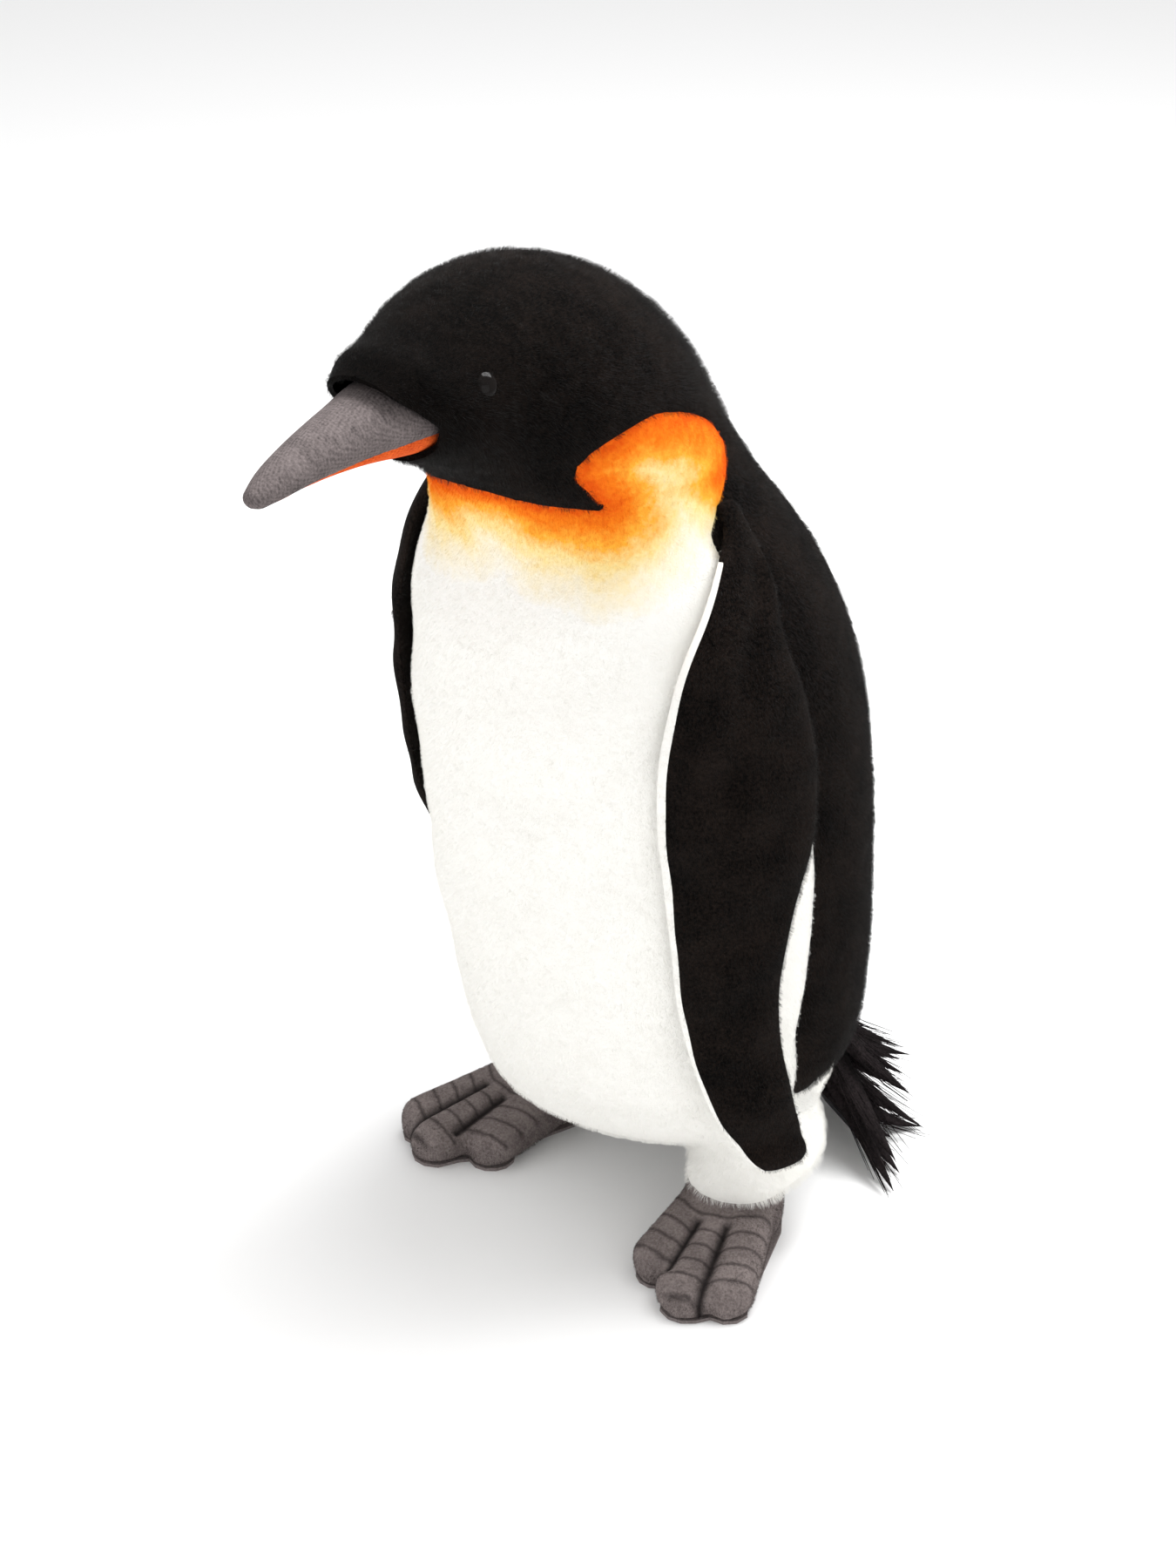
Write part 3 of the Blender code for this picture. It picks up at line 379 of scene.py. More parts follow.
def puff(obj, held, cap, pressure=4.0):
    """Swell a closed cloth for some frames; held points stay, and none moves more than cap."""
    before = coords(obj)
    group = obj.vertex_groups.new(name="held")
    for i in np.nonzero(held > 0.02)[0]:
        group.add([int(i)], float(held[i]), "REPLACE")
    mod = obj.modifiers.new("cloth", "CLOTH")
    configure(mod.settings, quality=4, mass=0.2, tension_stiffness=8, compression_stiffness=8,
              shear_stiffness=3, bending_stiffness=0.5, use_pressure=True,
              uniform_pressure_force=pressure, vertex_group_mass="held")
    mod.settings.effector_weights.gravity = 0
    mod.collision_settings.use_collision = False
    scene = bpy.context.scene
    mod.point_cache.frame_start = 1
    mod.point_cache.frame_end = PUFF_FRAMES
    for number in range(1, PUFF_FRAMES + 1):
        scene.frame_set(number)
    graph = bpy.context.evaluated_depsgraph_get()
    swollen = obj.evaluated_get(graph).to_mesh()
    after = np.empty(len(swollen.vertices) * 3)
    swollen.vertices.foreach_get("co", after)
    move = after.reshape(-1, 3) - before
    obj.modifiers.remove(mod)
    obj.vertex_groups.clear()
    scene.frame_set(1)
    length = np.linalg.norm(move, axis=1, keepdims=True)
    set_coords(obj, before + move * np.minimum(1, cap / np.maximum(length, 1e-9)))


# -------------------- distances and cuts
def fade(value, start, width):
    """0 up to a start, 1 from a width beyond it, and straight between."""
    return np.clip((value - start) / width, 0, 1)


def bell(distance_away, width):
    return np.exp(-(distance_away / width)**2)


def segment_distance(points, first, last):
    """Distance of points in a plane to the straight line between two others."""
    way = last - first
    share = np.clip((points - first) @ way / (way @ way), 0, 1)
    return np.linalg.norm(points - first - share[:, None] * way, axis=1)


def tree_of(*names):
    verts, polys = [], []
    for name in names:
        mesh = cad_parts[name].data
        polys += [[v + len(verts) for v in p.vertices] for p in mesh.polygons]
        verts += [v.co.copy() for v in mesh.vertices]
    return BVHTree.FromPolygons(verts, polys)


def distance(tree, co):
    return np.array([tree.find_nearest(Vector(p))[3] for p in co])


def cut(obj, value):
    """Cut a mesh along the line where value, a function of points, is zero."""
    bm = bmesh.new()
    bm.from_mesh(obj.data)
    bm.verts.ensure_lookup_table()
    amount = value(np.array([v.co for v in bm.verts]))
    fresh = []
    for edge in list(bm.edges):
        a, b = edge.verts
        fa, fb = amount[a.index], amount[b.index]
        if fa * fb < 0:
            _, vert = bmesh.utils.edge_split(edge, a, abs(fa) / (abs(fa) + abs(fb)))
            fresh.append(vert)
    bmesh.ops.connect_verts(bm, verts=fresh)
    bmesh.ops.dissolve_degenerate(bm, dist=0.0006, edges=bm.edges)
    bm.to_mesh(obj.data)
    bm.free()


def split(obj, names, label):
    """One new object for each name, made of the faces that label gives its number.

    Its points and faces are sorted, because the cuts leave them in no fixed order.
    """
    co = coords(obj)
    rings = [tuple(p.vertices) for p in obj.data.polygons]
    number = label(np.array([co[list(ring)].mean(0) for ring in rings]))
    pieces = []
    for k, name in enumerate(names):
        own = [ring for ring, n in zip(rings, number) if n == k]
        used = sorted({v for ring in own for v in ring}, key=lambda v: tuple(co[v]))
        rank = {v: i for i, v in enumerate(used)}
        faces = []
        for ring in own:
            ring = [rank[v] for v in ring]
            first = ring.index(min(ring))
            faces.append(ring[first:] + ring[:first])
        pieces.append(mesh_object(name, co[used], sorted(faces)))
    bpy.data.objects.remove(obj, do_unlink=True)
    return pieces


def in_order(elements, key):
    """Sort a bmesh's points, edges or faces."""
    for i, element in enumerate(sorted(elements, key=key)):
        element.index = i
    elements.sort()


def hem(obj, depth):
    """Turn a panel's raw edges sharply inward, so that a seam closes behind its pile."""
    bm = bmesh.new()
    bm.from_mesh(obj.data)
    crease = bm.edges.layers.float.new("crease_edge")
    rim = [e for e in bm.edges if e.is_boundary]
    for edge in rim:
        edge[crease] = 1.0
        edge.smooth = False
    inward = {v: v.normal.copy() for e in rim for v in e.verts}
    made = bmesh.ops.extrude_edge_only(bm, edges=rim)
    for vert in (g for g in made["geom"] if isinstance(g, bmesh.types.BMVert)):
        source = min((e.other_vert(vert) for e in vert.link_edges if e.other_vert(vert) in inward),
                     key=lambda v: (v.co - vert.co).length, default=None)
        if source is not None:
            vert.co -= inward[source] * depth
    in_order(bm.verts, lambda v: tuple(v.co))
    in_order(bm.edges, lambda e: sorted(v.index for v in e.verts))
    in_order(bm.faces, lambda f: sorted(v.index for v in f.verts))
    bm.to_mesh(obj.data)
    bm.free()


def finish_mesh(obj):
    """Subdivide once and shade smoothly."""
    mod = obj.modifiers.new("subdivide", "SUBSURF")
    mod.levels = 1
    mod.render_levels = 1
    apply_modifiers(obj)
    obj.data.polygons.foreach_set("use_smooth", [True] * len(obj.data.polygons))


def paint(obj, name, *channels):
    """Store up to three 0..1 channels, each a value for every vertex, where a shader reads them."""
    corners = np.empty(len(obj.data.loops), int)
    obj.data.loops.foreach_get("vertex_index", corners)
    values = np.ones((len(corners), 4))
    values[:, :3] = 0.0
    for k, channel in enumerate(channels):
        values[:, k] = np.clip(channel, 0, 1)[corners]
    layer = obj.data.color_attributes.new(name=name, type="BYTE_COLOR", domain="CORNER")
    layer.data.foreach_set("color", values.ravel())


def stand_in(piece, nodes, body="torso"):
    """Let a piece of a body stand for some of the frame's nodes."""
    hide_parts(*nodes)
    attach(piece, body)


# -------------------- shader helpers
class Shader:
    """A material's nodes, with a short way to add and join them."""

    def __init__(self, name):
        self.mat = bpy.data.materials.new(name)
        self.mat.use_nodes = True
        self.tree = self.mat.node_tree
        self.base = self.tree.nodes["Principled BSDF"]

    def node(self, kind, inputs=None, **settings):
        made = self.tree.nodes.new("ShaderNode" + kind)
        configure(made, **settings)
        for key, value in (inputs or {}).items():
            self.put(made.inputs[key], value)
        return made

    def put(self, socket, value):
        if isinstance(value, bpy.types.NodeSocket):
            self.tree.links.new(value, socket)
        elif isinstance(value, tuple) and len(value) == 3 and socket.type == "RGBA":
            socket.default_value = (*value, 1.0)
        else:
            socket.default_value = value

    def set(self, **values):
        for key, value in values.items():
            self.put(self.base.inputs[key.replace("_", " ")], value)
        return self

    def place(self):
        return self.node("TexCoord").outputs["Object"]

    def axis(self, name):
        return self.node("SeparateXYZ", {"Vector": self.place()}).outputs[name]

    def noise(self, scale, detail=3.0, rough=0.6, vector=None):
        inputs = {"Vector": vector or self.place(), "Scale": scale, "Detail": detail,
                  "Roughness": rough}
        return self.node("TexNoise", inputs).outputs["Fac"]

    def ramp(self, value, *stops):
        made = self.node("ValToRGB", {"Fac": value})
        band = made.color_ramp
        while len(band.elements) < len(stops):
            band.elements.new(0.5)
        for element, (place, colour) in zip(band.elements, stops):
            element.position = place
            element.color = (*colour, 1.0) if isinstance(colour, tuple) else (*[colour] * 3, 1.0)
        return made.outputs["Color"]

    def mix(self, share, first, second, blend="MIX"):
        made = self.node("Mix", data_type="RGBA", blend_type=blend)
        self.put(made.inputs[0], share)
        self.put(made.inputs[6], first)
        self.put(made.inputs[7], second)
        return made.outputs[2]

    def math(self, kind, first, second=0.0, clamp=False):
        made = self.node("Math", operation=kind, use_clamp=clamp)
        self.put(made.inputs[0], first)
        self.put(made.inputs[1], second)
        return made.outputs[0]

    def total(self, *terms):
        """Sum of values, each given with its weight."""
        parts = [self.math("MULTIPLY", value, weight) for value, weight in terms]
        out = parts[0]
        for part in parts[1:]:
            out = self.math("ADD", out, part)
        return out

    def channel(self, name, which):
        colour = self.node("Attribute", attribute_name=name).outputs["Color"]
        return self.node("SeparateColor", {"Color": colour}).outputs[which]

    def bump(self, height, distance):
        made = self.node("Bump", {"Height": height, "Distance": distance})
        self.put(self.base.inputs["Normal"], made.outputs["Normal"])
        return self


def plush_surface(shader, colour):
    """Cloth under a pile: fine tufts with next to no gloss."""
    tufts = shader.noise(900.0, 2.0)
    shader.set(Base_Color=colour, Roughness=0.95, Specular_IOR_Level=0.06)
    shader.bump(tufts, 0.0006)


def mottled(shader, dark, light, scale=30.0):
    """Pile that leans this way and that, seen as soft darker and lighter patches."""
    both = shader.total((shader.noise(scale, 4.0, 0.65), 0.45), (shader.noise(650.0, 2.0), 0.55))
    return shader.ramp(both, (0.38, dark), (0.62, light))


def black_pile_face_shade(shader):
    """Black pile, with painted shade that darkens its colour toward the face."""
    front, rear = FACE_SHADE_Y
    behind = shader.math("SUBTRACT", shader.axis("Y"), front)
    share = shader.math("DIVIDE", behind, rear - front, clamp=True)
    # painted shade: the pile's colour is multiplied darker toward the face
    tone = shader.ramp(share, (0.0, FACE_SHADE_TONE), (1.0, 1.0))
    return shader.mix(1.0, mottled(shader, BLACK_DARK, BLACK_LIGHT), tone, "MULTIPLY")


def strand_tone(shader, colour, spread):
    """Every strand a little lighter or darker than the next."""
    strand = shader.node("HairInfo").outputs["Random"]
    tone = shader.ramp(strand, (0.0, 1.0 - spread), (1.0, 1.0))
    return shader.mix(1.0, colour, tone, "MULTIPLY")


def throat_colour(shader):
    """Sprayed colour that fades from deep orange at the hood's seam to white."""
    depth = shader.channel("tint", 0)
    cloud = shader.math("SUBTRACT", shader.noise(45.0, 3.0), 0.5)
    streak = shader.math("SUBTRACT", shader.noise(260.0, 2.0), 0.5)
    place = shader.math("ADD", depth, shader.total((cloud, 0.30), (streak, 0.16)))
    faded = shader.math("MULTIPLY", place, shader.ramp(depth, (0.02, 0.0), (0.2, 1.0)))
    return shader.ramp(faded, (0.16, WHITE), (0.40, CREAM), (0.58, (0.95, 0.76, 0.34)),
                       (0.72, (0.96, 0.47, 0.05)), (0.85, (0.90, 0.23, 0.012)),
                       (0.98, (0.78, 0.11, 0.006)))


def make_materials():
    """Two looks for each pile fabric, the cloth itself and its strands, and one for the rest."""
    # colour, how much the strands differ from each other, their roughness and their gloss
    fabrics = {
        "black_plush": (black_pile_face_shade, 0.8, 0.42, 0.17),
        "white_plush": (throat_colour, 0.05, 0.85, 0.06),
        "foot_plush": (foot_colour, 0.8, 0.85, 0.06),
    }
    looks = {}
    for name, (colour_of, spread, roughness, gloss) in fabrics.items():
        cloth = Shader(f"{name}_cloth")
        plush_surface(cloth, colour_of(cloth))
        looks[name, "cloth"] = cloth.mat
        pile = Shader(f"{name}_pile")
        pile.set(Base_Color=strand_tone(pile, colour_of(pile), spread), Roughness=roughness,
                 Specular_IOR_Level=gloss)
        looks[name, "pile"] = pile.mat
    fur = Shader("long_fur_cloth")
    plush_surface(fur, mottled(fur, FUR_DARK, FUR_LIGHT))
    looks["long_fur"] = fur.mat
    looks["grey_knit"] = knit("grey_knit", (0.045, 0.038, 0.038), (0.255, 0.215, 0.212))
    looks["orange_knit"] = knit("orange_knit", (0.42, 0.035, 0.006), (0.95, 0.17, 0.03))
    looks["eye"] = eye_look()
    looks["felt"] = plain_cloth("felt", (0.185, 0.155, 0.150), 700.0)
    looks["backing"] = plain_cloth("backing", (0.02, 0.018, 0.018), 1500.0)
    looks["satin"] = woven("satin", (0.86, 0.86, 0.84), 0.35)
    looks["bag"] = woven("bag", (0.66, 0.63, 0.56), 0.9)
    looks["wire"] = metal("wire")
    looks["plastic"] = moulded("plastic", (0.80, 0.80, 0.78))
    looks["board"] = plain_cloth("board", (0.55, 0.50, 0.44), 400.0)
    return looks


def foot_colour(shader):
    """Grey brown, with sprayed bars across each toe and dark grooves between the toes."""
    along = shader.channel("foot", 0)
    groove = shader.channel("foot", 1)
    bars = shader.channel("foot", 2)
    ground = mottled(shader, (0.135, 0.112, 0.108), (0.235, 0.198, 0.190), 70.0)
    wave = shader.math("FRACT", shader.total((along, 9.0), (shader.noise(90.0), 0.22)))
    line = shader.ramp(wave, (0.0, 1.0), (0.16, 0.0), (0.84, 0.0), (1.0, 1.0))
    line = shader.math("MULTIPLY", line, bars)
    barred = shader.mix(shader.math("MULTIPLY", line, 0.75), ground, (0.035, 0.028, 0.028))
    return shader.mix(groove, barred, (0.016, 0.013, 0.013))


def knit(name, dark, light):
    """Jersey: faint rows and ribs under the grain of its yarn, worn lighter in places."""
    shader = Shader(name)
    slant = shader.math("ADD", shader.axis("X"), shader.math("MULTIPLY", shader.axis("Z"), 0.8))
    rows = shader.math("SINE", shader.math("MULTIPLY", shader.axis("Y"), 2 * math.pi / COURSE))
    ribs = shader.math("SINE", shader.math("MULTIPLY", slant, 2 * math.pi / WALE))
    both = shader.total((rows, 0.04), (ribs, 0.06), (shader.noise(850.0, 2.0), 0.9))
    worn = shader.total((both, 0.7), (shader.noise(70.0), 0.4))
    shader.set(Base_Color=shader.ramp(worn, (0.25, dark), (0.85, light)), Roughness=0.92,
               Specular_IOR_Level=0.1)
    return shader.bump(both, 0.0004).mat


def plain_cloth(name, colour, scale):
    shader = Shader(name)
    fibres = shader.noise(scale, 4.0, 0.7)
    dark = tuple(c * 0.6 for c in colour)
    light = tuple(min(1.0, c * 1.3) for c in colour)
    shader.set(Base_Color=shader.ramp(fibres, (0.3, dark), (0.7, light)), Roughness=0.9)
    return shader.bump(fibres, 0.0004).mat


def woven(name, colour, roughness):
    """Plain weave from two crossing sets of threads."""
    shader = Shader(name)
    turn = 2 * math.pi / THREAD
    over = shader.math("SINE", shader.math("MULTIPLY", shader.axis("X"), turn))
    under = shader.math("SINE", shader.math("MULTIPLY", shader.axis("Z"), turn))
    weave = shader.math("ADD", shader.math("MULTIPLY", shader.math("MULTIPLY", over, under), 0.5),
                        0.5)
    dark = tuple(c * 0.8 for c in colour)
    shader.set(Base_Color=shader.ramp(weave, (0.2, dark), (0.8, colour)), Roughness=roughness)
    return shader.bump(weave, 0.0002).mat


def metal(name):
    """Wire, with the fine lines of its drawing along it."""
    shader = Shader(name)
    stretched = shader.node("Mapping", {"Vector": shader.place(), "Scale": (1.0, 1.0, 0.05)})
    drawn = shader.noise(1200.0, 3.0, 0.7, stretched.outputs["Vector"])
    shader.set(Base_Color=shader.ramp(drawn, (0.3, (0.42, 0.42, 0.43)), (0.7, (0.6, 0.6, 0.61))),
               Metallic=1.0, Roughness=0.38)
    return shader.bump(drawn, 0.0001).mat


def moulded(name, colour):
    shader = Shader(name)
    grain = shader.noise(1500.0)
    shader.set(Base_Color=shader.ramp(grain, (0.0, tuple(c * 0.9 for c in colour)), (1.0, colour)),
               Roughness=0.5)
    return shader.bump(grain, 0.0001).mat


def eye_look():
    """Polished black dome with faint handling marks in its gloss."""
    shader = Shader("eye_gloss")
    smear = shader.noise(300.0, 4.0)
    shader.set(Base_Color=shader.ramp(smear, (0.0, (0.003, 0.002, 0.002)),
                                      (1.0, (0.007, 0.005, 0.004))),
               Roughness=shader.ramp(smear, (0.3, 0.04), (0.8, 0.10)), Specular_IOR_Level=0.14)
    return shader.mat


def add_pile(obj, look, length, seed, density=PILE_DENSITY, comb=DOWN, lean=0.45):
    """Strands of pile that lean the way they are combed, as hair on a finished piece."""
    children = 12
    wild = 0.25
    obj.data.materials.append(look)
    area = sum(p.area for p in obj.data.polygons)
    obj.modifiers.new("pile", "PARTICLE_SYSTEM")
    system = obj.particle_systems[-1]
    system.seed = seed
    reach = length / 4  # strands grow to four times their starting speed
    configure(system.settings, type="HAIR", use_advanced_hair=True,
              count=max(50, int(area * density * 1e6 / children)), hair_step=3,
              normal_factor=reach * (1 - lean),
              object_align_factor=tuple(reach * lean * c for c in comb),
              factor_random=reach * wild, child_type="INTERPOLATED", child_percent=1,
              rendered_child_count=children, use_even_distribution=True, clump_factor=0.15,
              roughness_1=0.0006, roughness_1_size=0.004, roughness_2=0.0006, root_radius=1.0,
              tip_radius=0.25, radius_scale=0.00011, material=len(obj.data.materials),
              display_step=2, render_step=2)


# -------------------- body
TREES = {
    "white": tree_of("front_panel", "seat_panel", "leg_left_cuff", "leg_right_cuff"),
    "head": tree_of("head_left_panel", "head_right_panel"),
    "back": tree_of("back_left_panel", "back_right_panel"),
    "cuffs": tree_of("leg_left_cuff", "leg_right_cuff"),
    "front": tree_of("front_panel"),
    "seat": tree_of("seat_panel"),
}
# the panels of the skin, and the frame's nodes that each stands for
SKIN = {
    "front_plush": ("front_panel", "body_stuffing"),
    "seat_plush": ("seat_panel",),
    "cuff_left_plush": ("leg_left_cuff", "leg_left_stuffing"),
    "cuff_right_plush": ("leg_right_cuff", "leg_right_stuffing"),
    "back_left_plush": ("back_left_panel",),
    "back_right_plush": ("back_right_panel",),
    "head_left_plush": ("head_left_panel", "head_stuffing"),
    "head_right_plush": ("head_right_panel",),
}


def black_side(co):
    """Above zero on the black panels, below it on the white ones."""
    black = np.minimum(distance(TREES["head"], co), distance(TREES["back"], co))
    return distance(TREES["white"], co) - black


def head_side(co):
    return distance(TREES["back"], co) - distance(TREES["head"], co)


def left_side(co):
    return co[:, 0] - CENTRE[0]


def cuff_side(co):
    others = np.minimum(distance(TREES["seat"], co), distance(TREES["front"], co))
    return others - distance(TREES["cuffs"], co)


def front_side(co):
    return distance(TREES["seat"], co) - distance(TREES["front"], co)


def hood_side(co):
    """Above zero in front of the hood's edge, where only the beak goes on."""
    edge = np.array(HOOD_EDGE)
    return np.interp(co[:, 2], edge[:, 1], edge[:, 0]) + CENTRE[1] - co[:, 1]


def seam_distance(co):
    """Distance of each point to its nearest seam."""
    black = black_side(co)
    inner = np.where(black > 0, np.minimum(np.abs(head_side(co)), np.abs(left_side(co))),
                     np.minimum(np.abs(front_side(co)), np.abs(cuff_side(co))))
    return np.minimum(np.abs(black), inner)


def ripple(co):
    """Slow, irregular waves between -1 and 1, for filling that lies unevenly."""
    x, y, z = co.T
    return 0.5 * (np.sin(61 * z + 34 * x + 1.1) + np.sin(97 * z - 48 * y - 29 * x + 0.4))


def leg_rings(side):
    """A leg's sections, which lean from over the ankle to the hip."""
    rings = []
    angle = round_angles(LEG_SIDES)
    for height, radius in spline(LEG, 4):
        share = min(max((height - ANKLE_Z) / (HIP_Z - ANKLE_Z), 0.0), 1.0)
        x, y = (a + (h - a) * share for a, h in zip(STANCE[side], HIP[side]))
        rings.append(np.stack([x + radius * np.cos(angle), y + radius * np.sin(angle),
                               np.full(LEG_SIDES, height)], 1) + CENTRE)
    return rings


def skin_number(co):
    """For each point the number of its panel in SKIN, or -1 where only the beak goes on."""
    black, left = black_side(co) > 0, left_side(co) > 0
    white = np.where(cuff_side(co) > 0, np.where(left, 2, 3), np.where(front_side(co) > 0, 0, 1))
    dark = np.where(head_side(co) > 0, 6, 4) + np.where(left, 0, 1)
    return np.where(hood_side(co) > 0, -1, np.where(black, dark, white))


def make_body(looks):
    """Body, head and cuffs as one swollen skin, cut into its sewn panels."""
    rings = [section(row, BODY_SIDES, BODY_INSET) for row in spline(BODY, 5)]
    body = union_of("body", [rings, leg_rings("left"), leg_rings("right")])
    remesh(body, BODY_VOXEL, 6)
    co = coords(body)
    # held at its seams, in front of the hood's edge and low down, inside the cuffs
    held = 1 - fade(seam_distance(co), SEAM_PIN, 2 * SEAM_PIN)
    held = np.maximum(held, fade(hood_side(co), -0.012, 0.008))
    held = np.maximum(held, 1 - fade(co[:, 2], 0.045, 0.010))
    puff(body, held, BODY_SWELL)
    co = coords(body)
    black = black_side(co)
    low = 1 - fade(co[:, 2], BACK_TOP - BACK_FADE, BACK_FADE)
    brow = fade(co[:, 2], BROW_FROM, BROW_FADE) * bell(hood_side(co) + BROW_BEHIND, BROW_WIDTH)
    sink = SEAM_SINK * bell(black, SEAM_WIDTH)
    sink -= fade(black, 0, SWELL_FADE) * (HEAD_SWELL + (BACK_SWELL - HEAD_SWELL) * low)
    sink += FRONT_DENT * ripple(co) * fade(-black, 0, DENT_FADE)
    sink -= BROW_SWELL * brow
    press(body, sink)
    for line in (black_side, head_side, left_side, cuff_side, front_side, hood_side):
        cut(body, line)

    for seed, piece in enumerate(split(body, tuple(SKIN), skin_number)):
        name = piece.name
        hem(piece, HEM_DEPTH)
        finish_mesh(piece)
        at = coords(piece)
        if name == "front_plush":
            below = np.maximum(THROAT_REAR_TOP - at[:, 2], 0)
            rear = distance(TREES["back"], at) + THROAT_TAPER * below
            reach = np.minimum(distance(TREES["head"], at), rear)
            paint(piece, "tint", 1 - reach / THROAT_REACH)
        else:
            paint(piece, "tint", np.zeros(len(at)))
        kind = name.split("_")[0]
        colour = "black_plush" if kind in ("back", "head") else "white_plush"
        piece.data.materials.append(looks[colour, "cloth"])
        add_pile(piece, looks[colour, "pile"], PILE[kind], seed + 1,
                 comb=BACKWARD if kind == "head" else DOWN)
        stand_in(piece, SKIN[name])


# -------------------- beak
def mouth_side(co):
    """Above zero over the mouth line."""
    line = np.array(MOUTH)
    return co[:, 2] - np.interp(co[:, 1] - CENTRE[1], line[:, 0], line[:, 1])


def make_beak(looks):
    """The beak, swollen as one and cut along the mouth."""
    rings = [section(row, BEAK_SIDES, BEAK_INSET) for row in spline(BEAK, 5)]
    tip = np.array((0.0, *BEAK_TIP)) + CENTRE
    for share in (0.6, 0.25):
        rings.append(tip + (rings[-1] - tip) * share)
    beak = union_of("beak", [rings])
    remesh(beak, BEAK_VOXEL, 3)
    co = coords(beak)
    held = 1 - fade(np.abs(mouth_side(co)), 0.002, 0.002)
    puff(beak, np.maximum(held, fade(co[:, 1], BEAK_ROOT, 0.005)), BEAK_SWELL)
    press(beak, MOUTH_SINK * bell(mouth_side(coords(beak)), MOUTH_WIDTH))
    cut(beak, mouth_side)
    names = ("beak_upper_knit", "beak_lower_knit")
    parts = split(beak, names, lambda at: np.where(mouth_side(at) > 0, 0, 1))
    for piece, slot, nodes in zip(parts, ("grey_knit", "orange_knit"),
                                  (("beak_upper", "beak_stuffing"), ("beak_lower",))):
        hem(piece, BEAK_HEM_DEPTH)
        finish_mesh(piece)
        piece.data.materials.append(looks[slot])
        stand_in(piece, nodes)


# -------------------- eyes
def eye_spot(side):
    """Where an eye sits on the head, and the outward direction there."""
    eye, washer = (sum((Vector(c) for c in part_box(node)), Vector()) / 2
                   for node in (f"eye_{side}", f"eye_washer_{side}"))
    normal = (eye - washer).normalized()
    return washer + normal * WASHER_DEPTH, normal


def make_eyes(looks):
    """Flattened domes, from a little below their rim up to nearly the top."""
    for side in ("left", "right"):
        spot, normal = eye_spot(side)
        rings = []
        turn = normal.to_track_quat("Z", "Y")
        for t in np.radians((-20, 0, 15, 30, 45, 60, 75, 86)):
            radius = EYE_R * math.cos(t)
            lift = EYE_R * EYE_FLAT * math.sin(t) - EYE_SUNK
            rings.append(np.array([spot + turn @ Vector((radius * math.cos(a),
                                                         radius * math.sin(a), lift))
                                   for a in round_angles(40)]))
        eye = union_of(f"eye_{side}_dome", [rings])
        finish_mesh(eye)
        eye.data.materials.append(looks["eye"])
        stand_in(eye, (f"eye_{side}",))


# -------------------- flippers
BODY_BY_HEIGHT = spline(BODY[:UPRIGHT_ROWS], 12)


def body_at(height):
    """Forward position, half width and depths in front and behind of the upright body."""
    return [np.interp(height, BODY_BY_HEIGHT[:, 1], BODY_BY_HEIGHT[:, k]) for k in (0, 3, 4, 5)]


def flank_points(height, angle, offset, sign):
    """Points beside the body at a height, at angles from the front and at stand-offs."""
    forward, half_width, front, back = body_at(height)
    depth = np.where(np.abs(angle) < math.pi / 2, front, back)
    return np.stack([sign * (half_width + offset) * np.sin(angle),
                     forward - (depth + offset) * np.cos(angle),
                     np.full(len(angle), height)], 1) + CENTRE


def flipper_ring(row, side, turns):
    """A flipper's cross-section; turn 0 is its rear edge and half a turn its front edge."""
    height, left, right, spread, stand_off, thickness = row
    first = math.radians(left if side == "left" else right)
    if side == "right":
        stand_off += RIGHT_STAND_OFF * fade(-height, -RIGHT_STAND_TOP, RIGHT_STAND_FADE)
    half = math.radians(spread) / 2
    lift = np.sin(turns)
    swell = max(thickness - 2 * FLIPPER_EDGE, 0.0)
    out = stand_off + FLIPPER_EDGE * (1 + lift) + swell * np.maximum(lift, 0)
    return flank_points(height, first + half + half * np.cos(turns), out,
                        1 if side == "left" else -1)


def fold_distance(co):
    """Distance, seen from the side, to the soft fold in the left flipper."""
    line = np.array(FLIPPER_FOLD) + CENTRE[1:]
    return np.min([segment_distance(co[:, 1:], first, last)
                   for first, last in zip(line, line[1:])], axis=0)


def rim_faces(rows, side, turns):
    """0 for each face of a lofted flipper on its black side and 1 on the white one."""
    rim = np.array(RIM_TURN[side])
    limits = np.radians(np.interp(rows[:-1, 0], rim[:, 0], rim[:, 1]))
    around = (turns[None] >= limits[:, None]).ravel()
    return np.r_[0, around, 0]


def make_flippers(looks):
    """Each flipper, swollen as one and split into its black side and its white lining."""
    turns = round_angles(FLIPPER_SIDES)
    rows = spline(FLIPPER, 7, plane=1)
    turn = np.tile(turns, len(rows))
    to_edge = np.minimum(np.abs(turn - math.pi), np.minimum(turn, 2 * math.pi - turn))
    outer = np.clip(np.sin(turn), 0, 1)
    seed = 20
    for side in ("left", "right"):
        flipper = union_of(f"flipper_{side}", [[flipper_ring(row, side, turns) for row in rows]])
        held = np.maximum(1 - fade(to_edge, 0.10, 0.20), coords(flipper)[:, 2] > FLIPPER_TOP)
        puff(flipper, held, FLIPPER_SWELL, FLIPPER_PRESSURE)
        co = coords(flipper)
        dent = FLIPPER_DENT * ripple(co * 1.3) * outer
        if side == "left":
            dent += FOLD_DEPTH * bell(fold_distance(co), FOLD_WIDTH) * outer
        press(flipper, dent)
        number = rim_faces(rows, side, turns)
        parts = split(flipper, (f"flipper_{side}_black", f"flipper_{side}_white"),
                      lambda at: number)
        stands_for = ((f"flipper_{side}_outer", f"flipper_{side}_stuffing"),
                      (f"flipper_{side}_lining",))
        for piece, slot, nodes in zip(parts, ("black_plush", "white_plush"), stands_for):
            finish_mesh(piece)
            piece.data.materials.append(looks[slot, "cloth"])
            paint(piece, "tint", np.zeros(len(piece.data.vertices)))
            add_pile(piece, looks[slot, "pile"], PILE["flipper"], seed)
            seed += 1
            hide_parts(*nodes)
            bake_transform(piece)


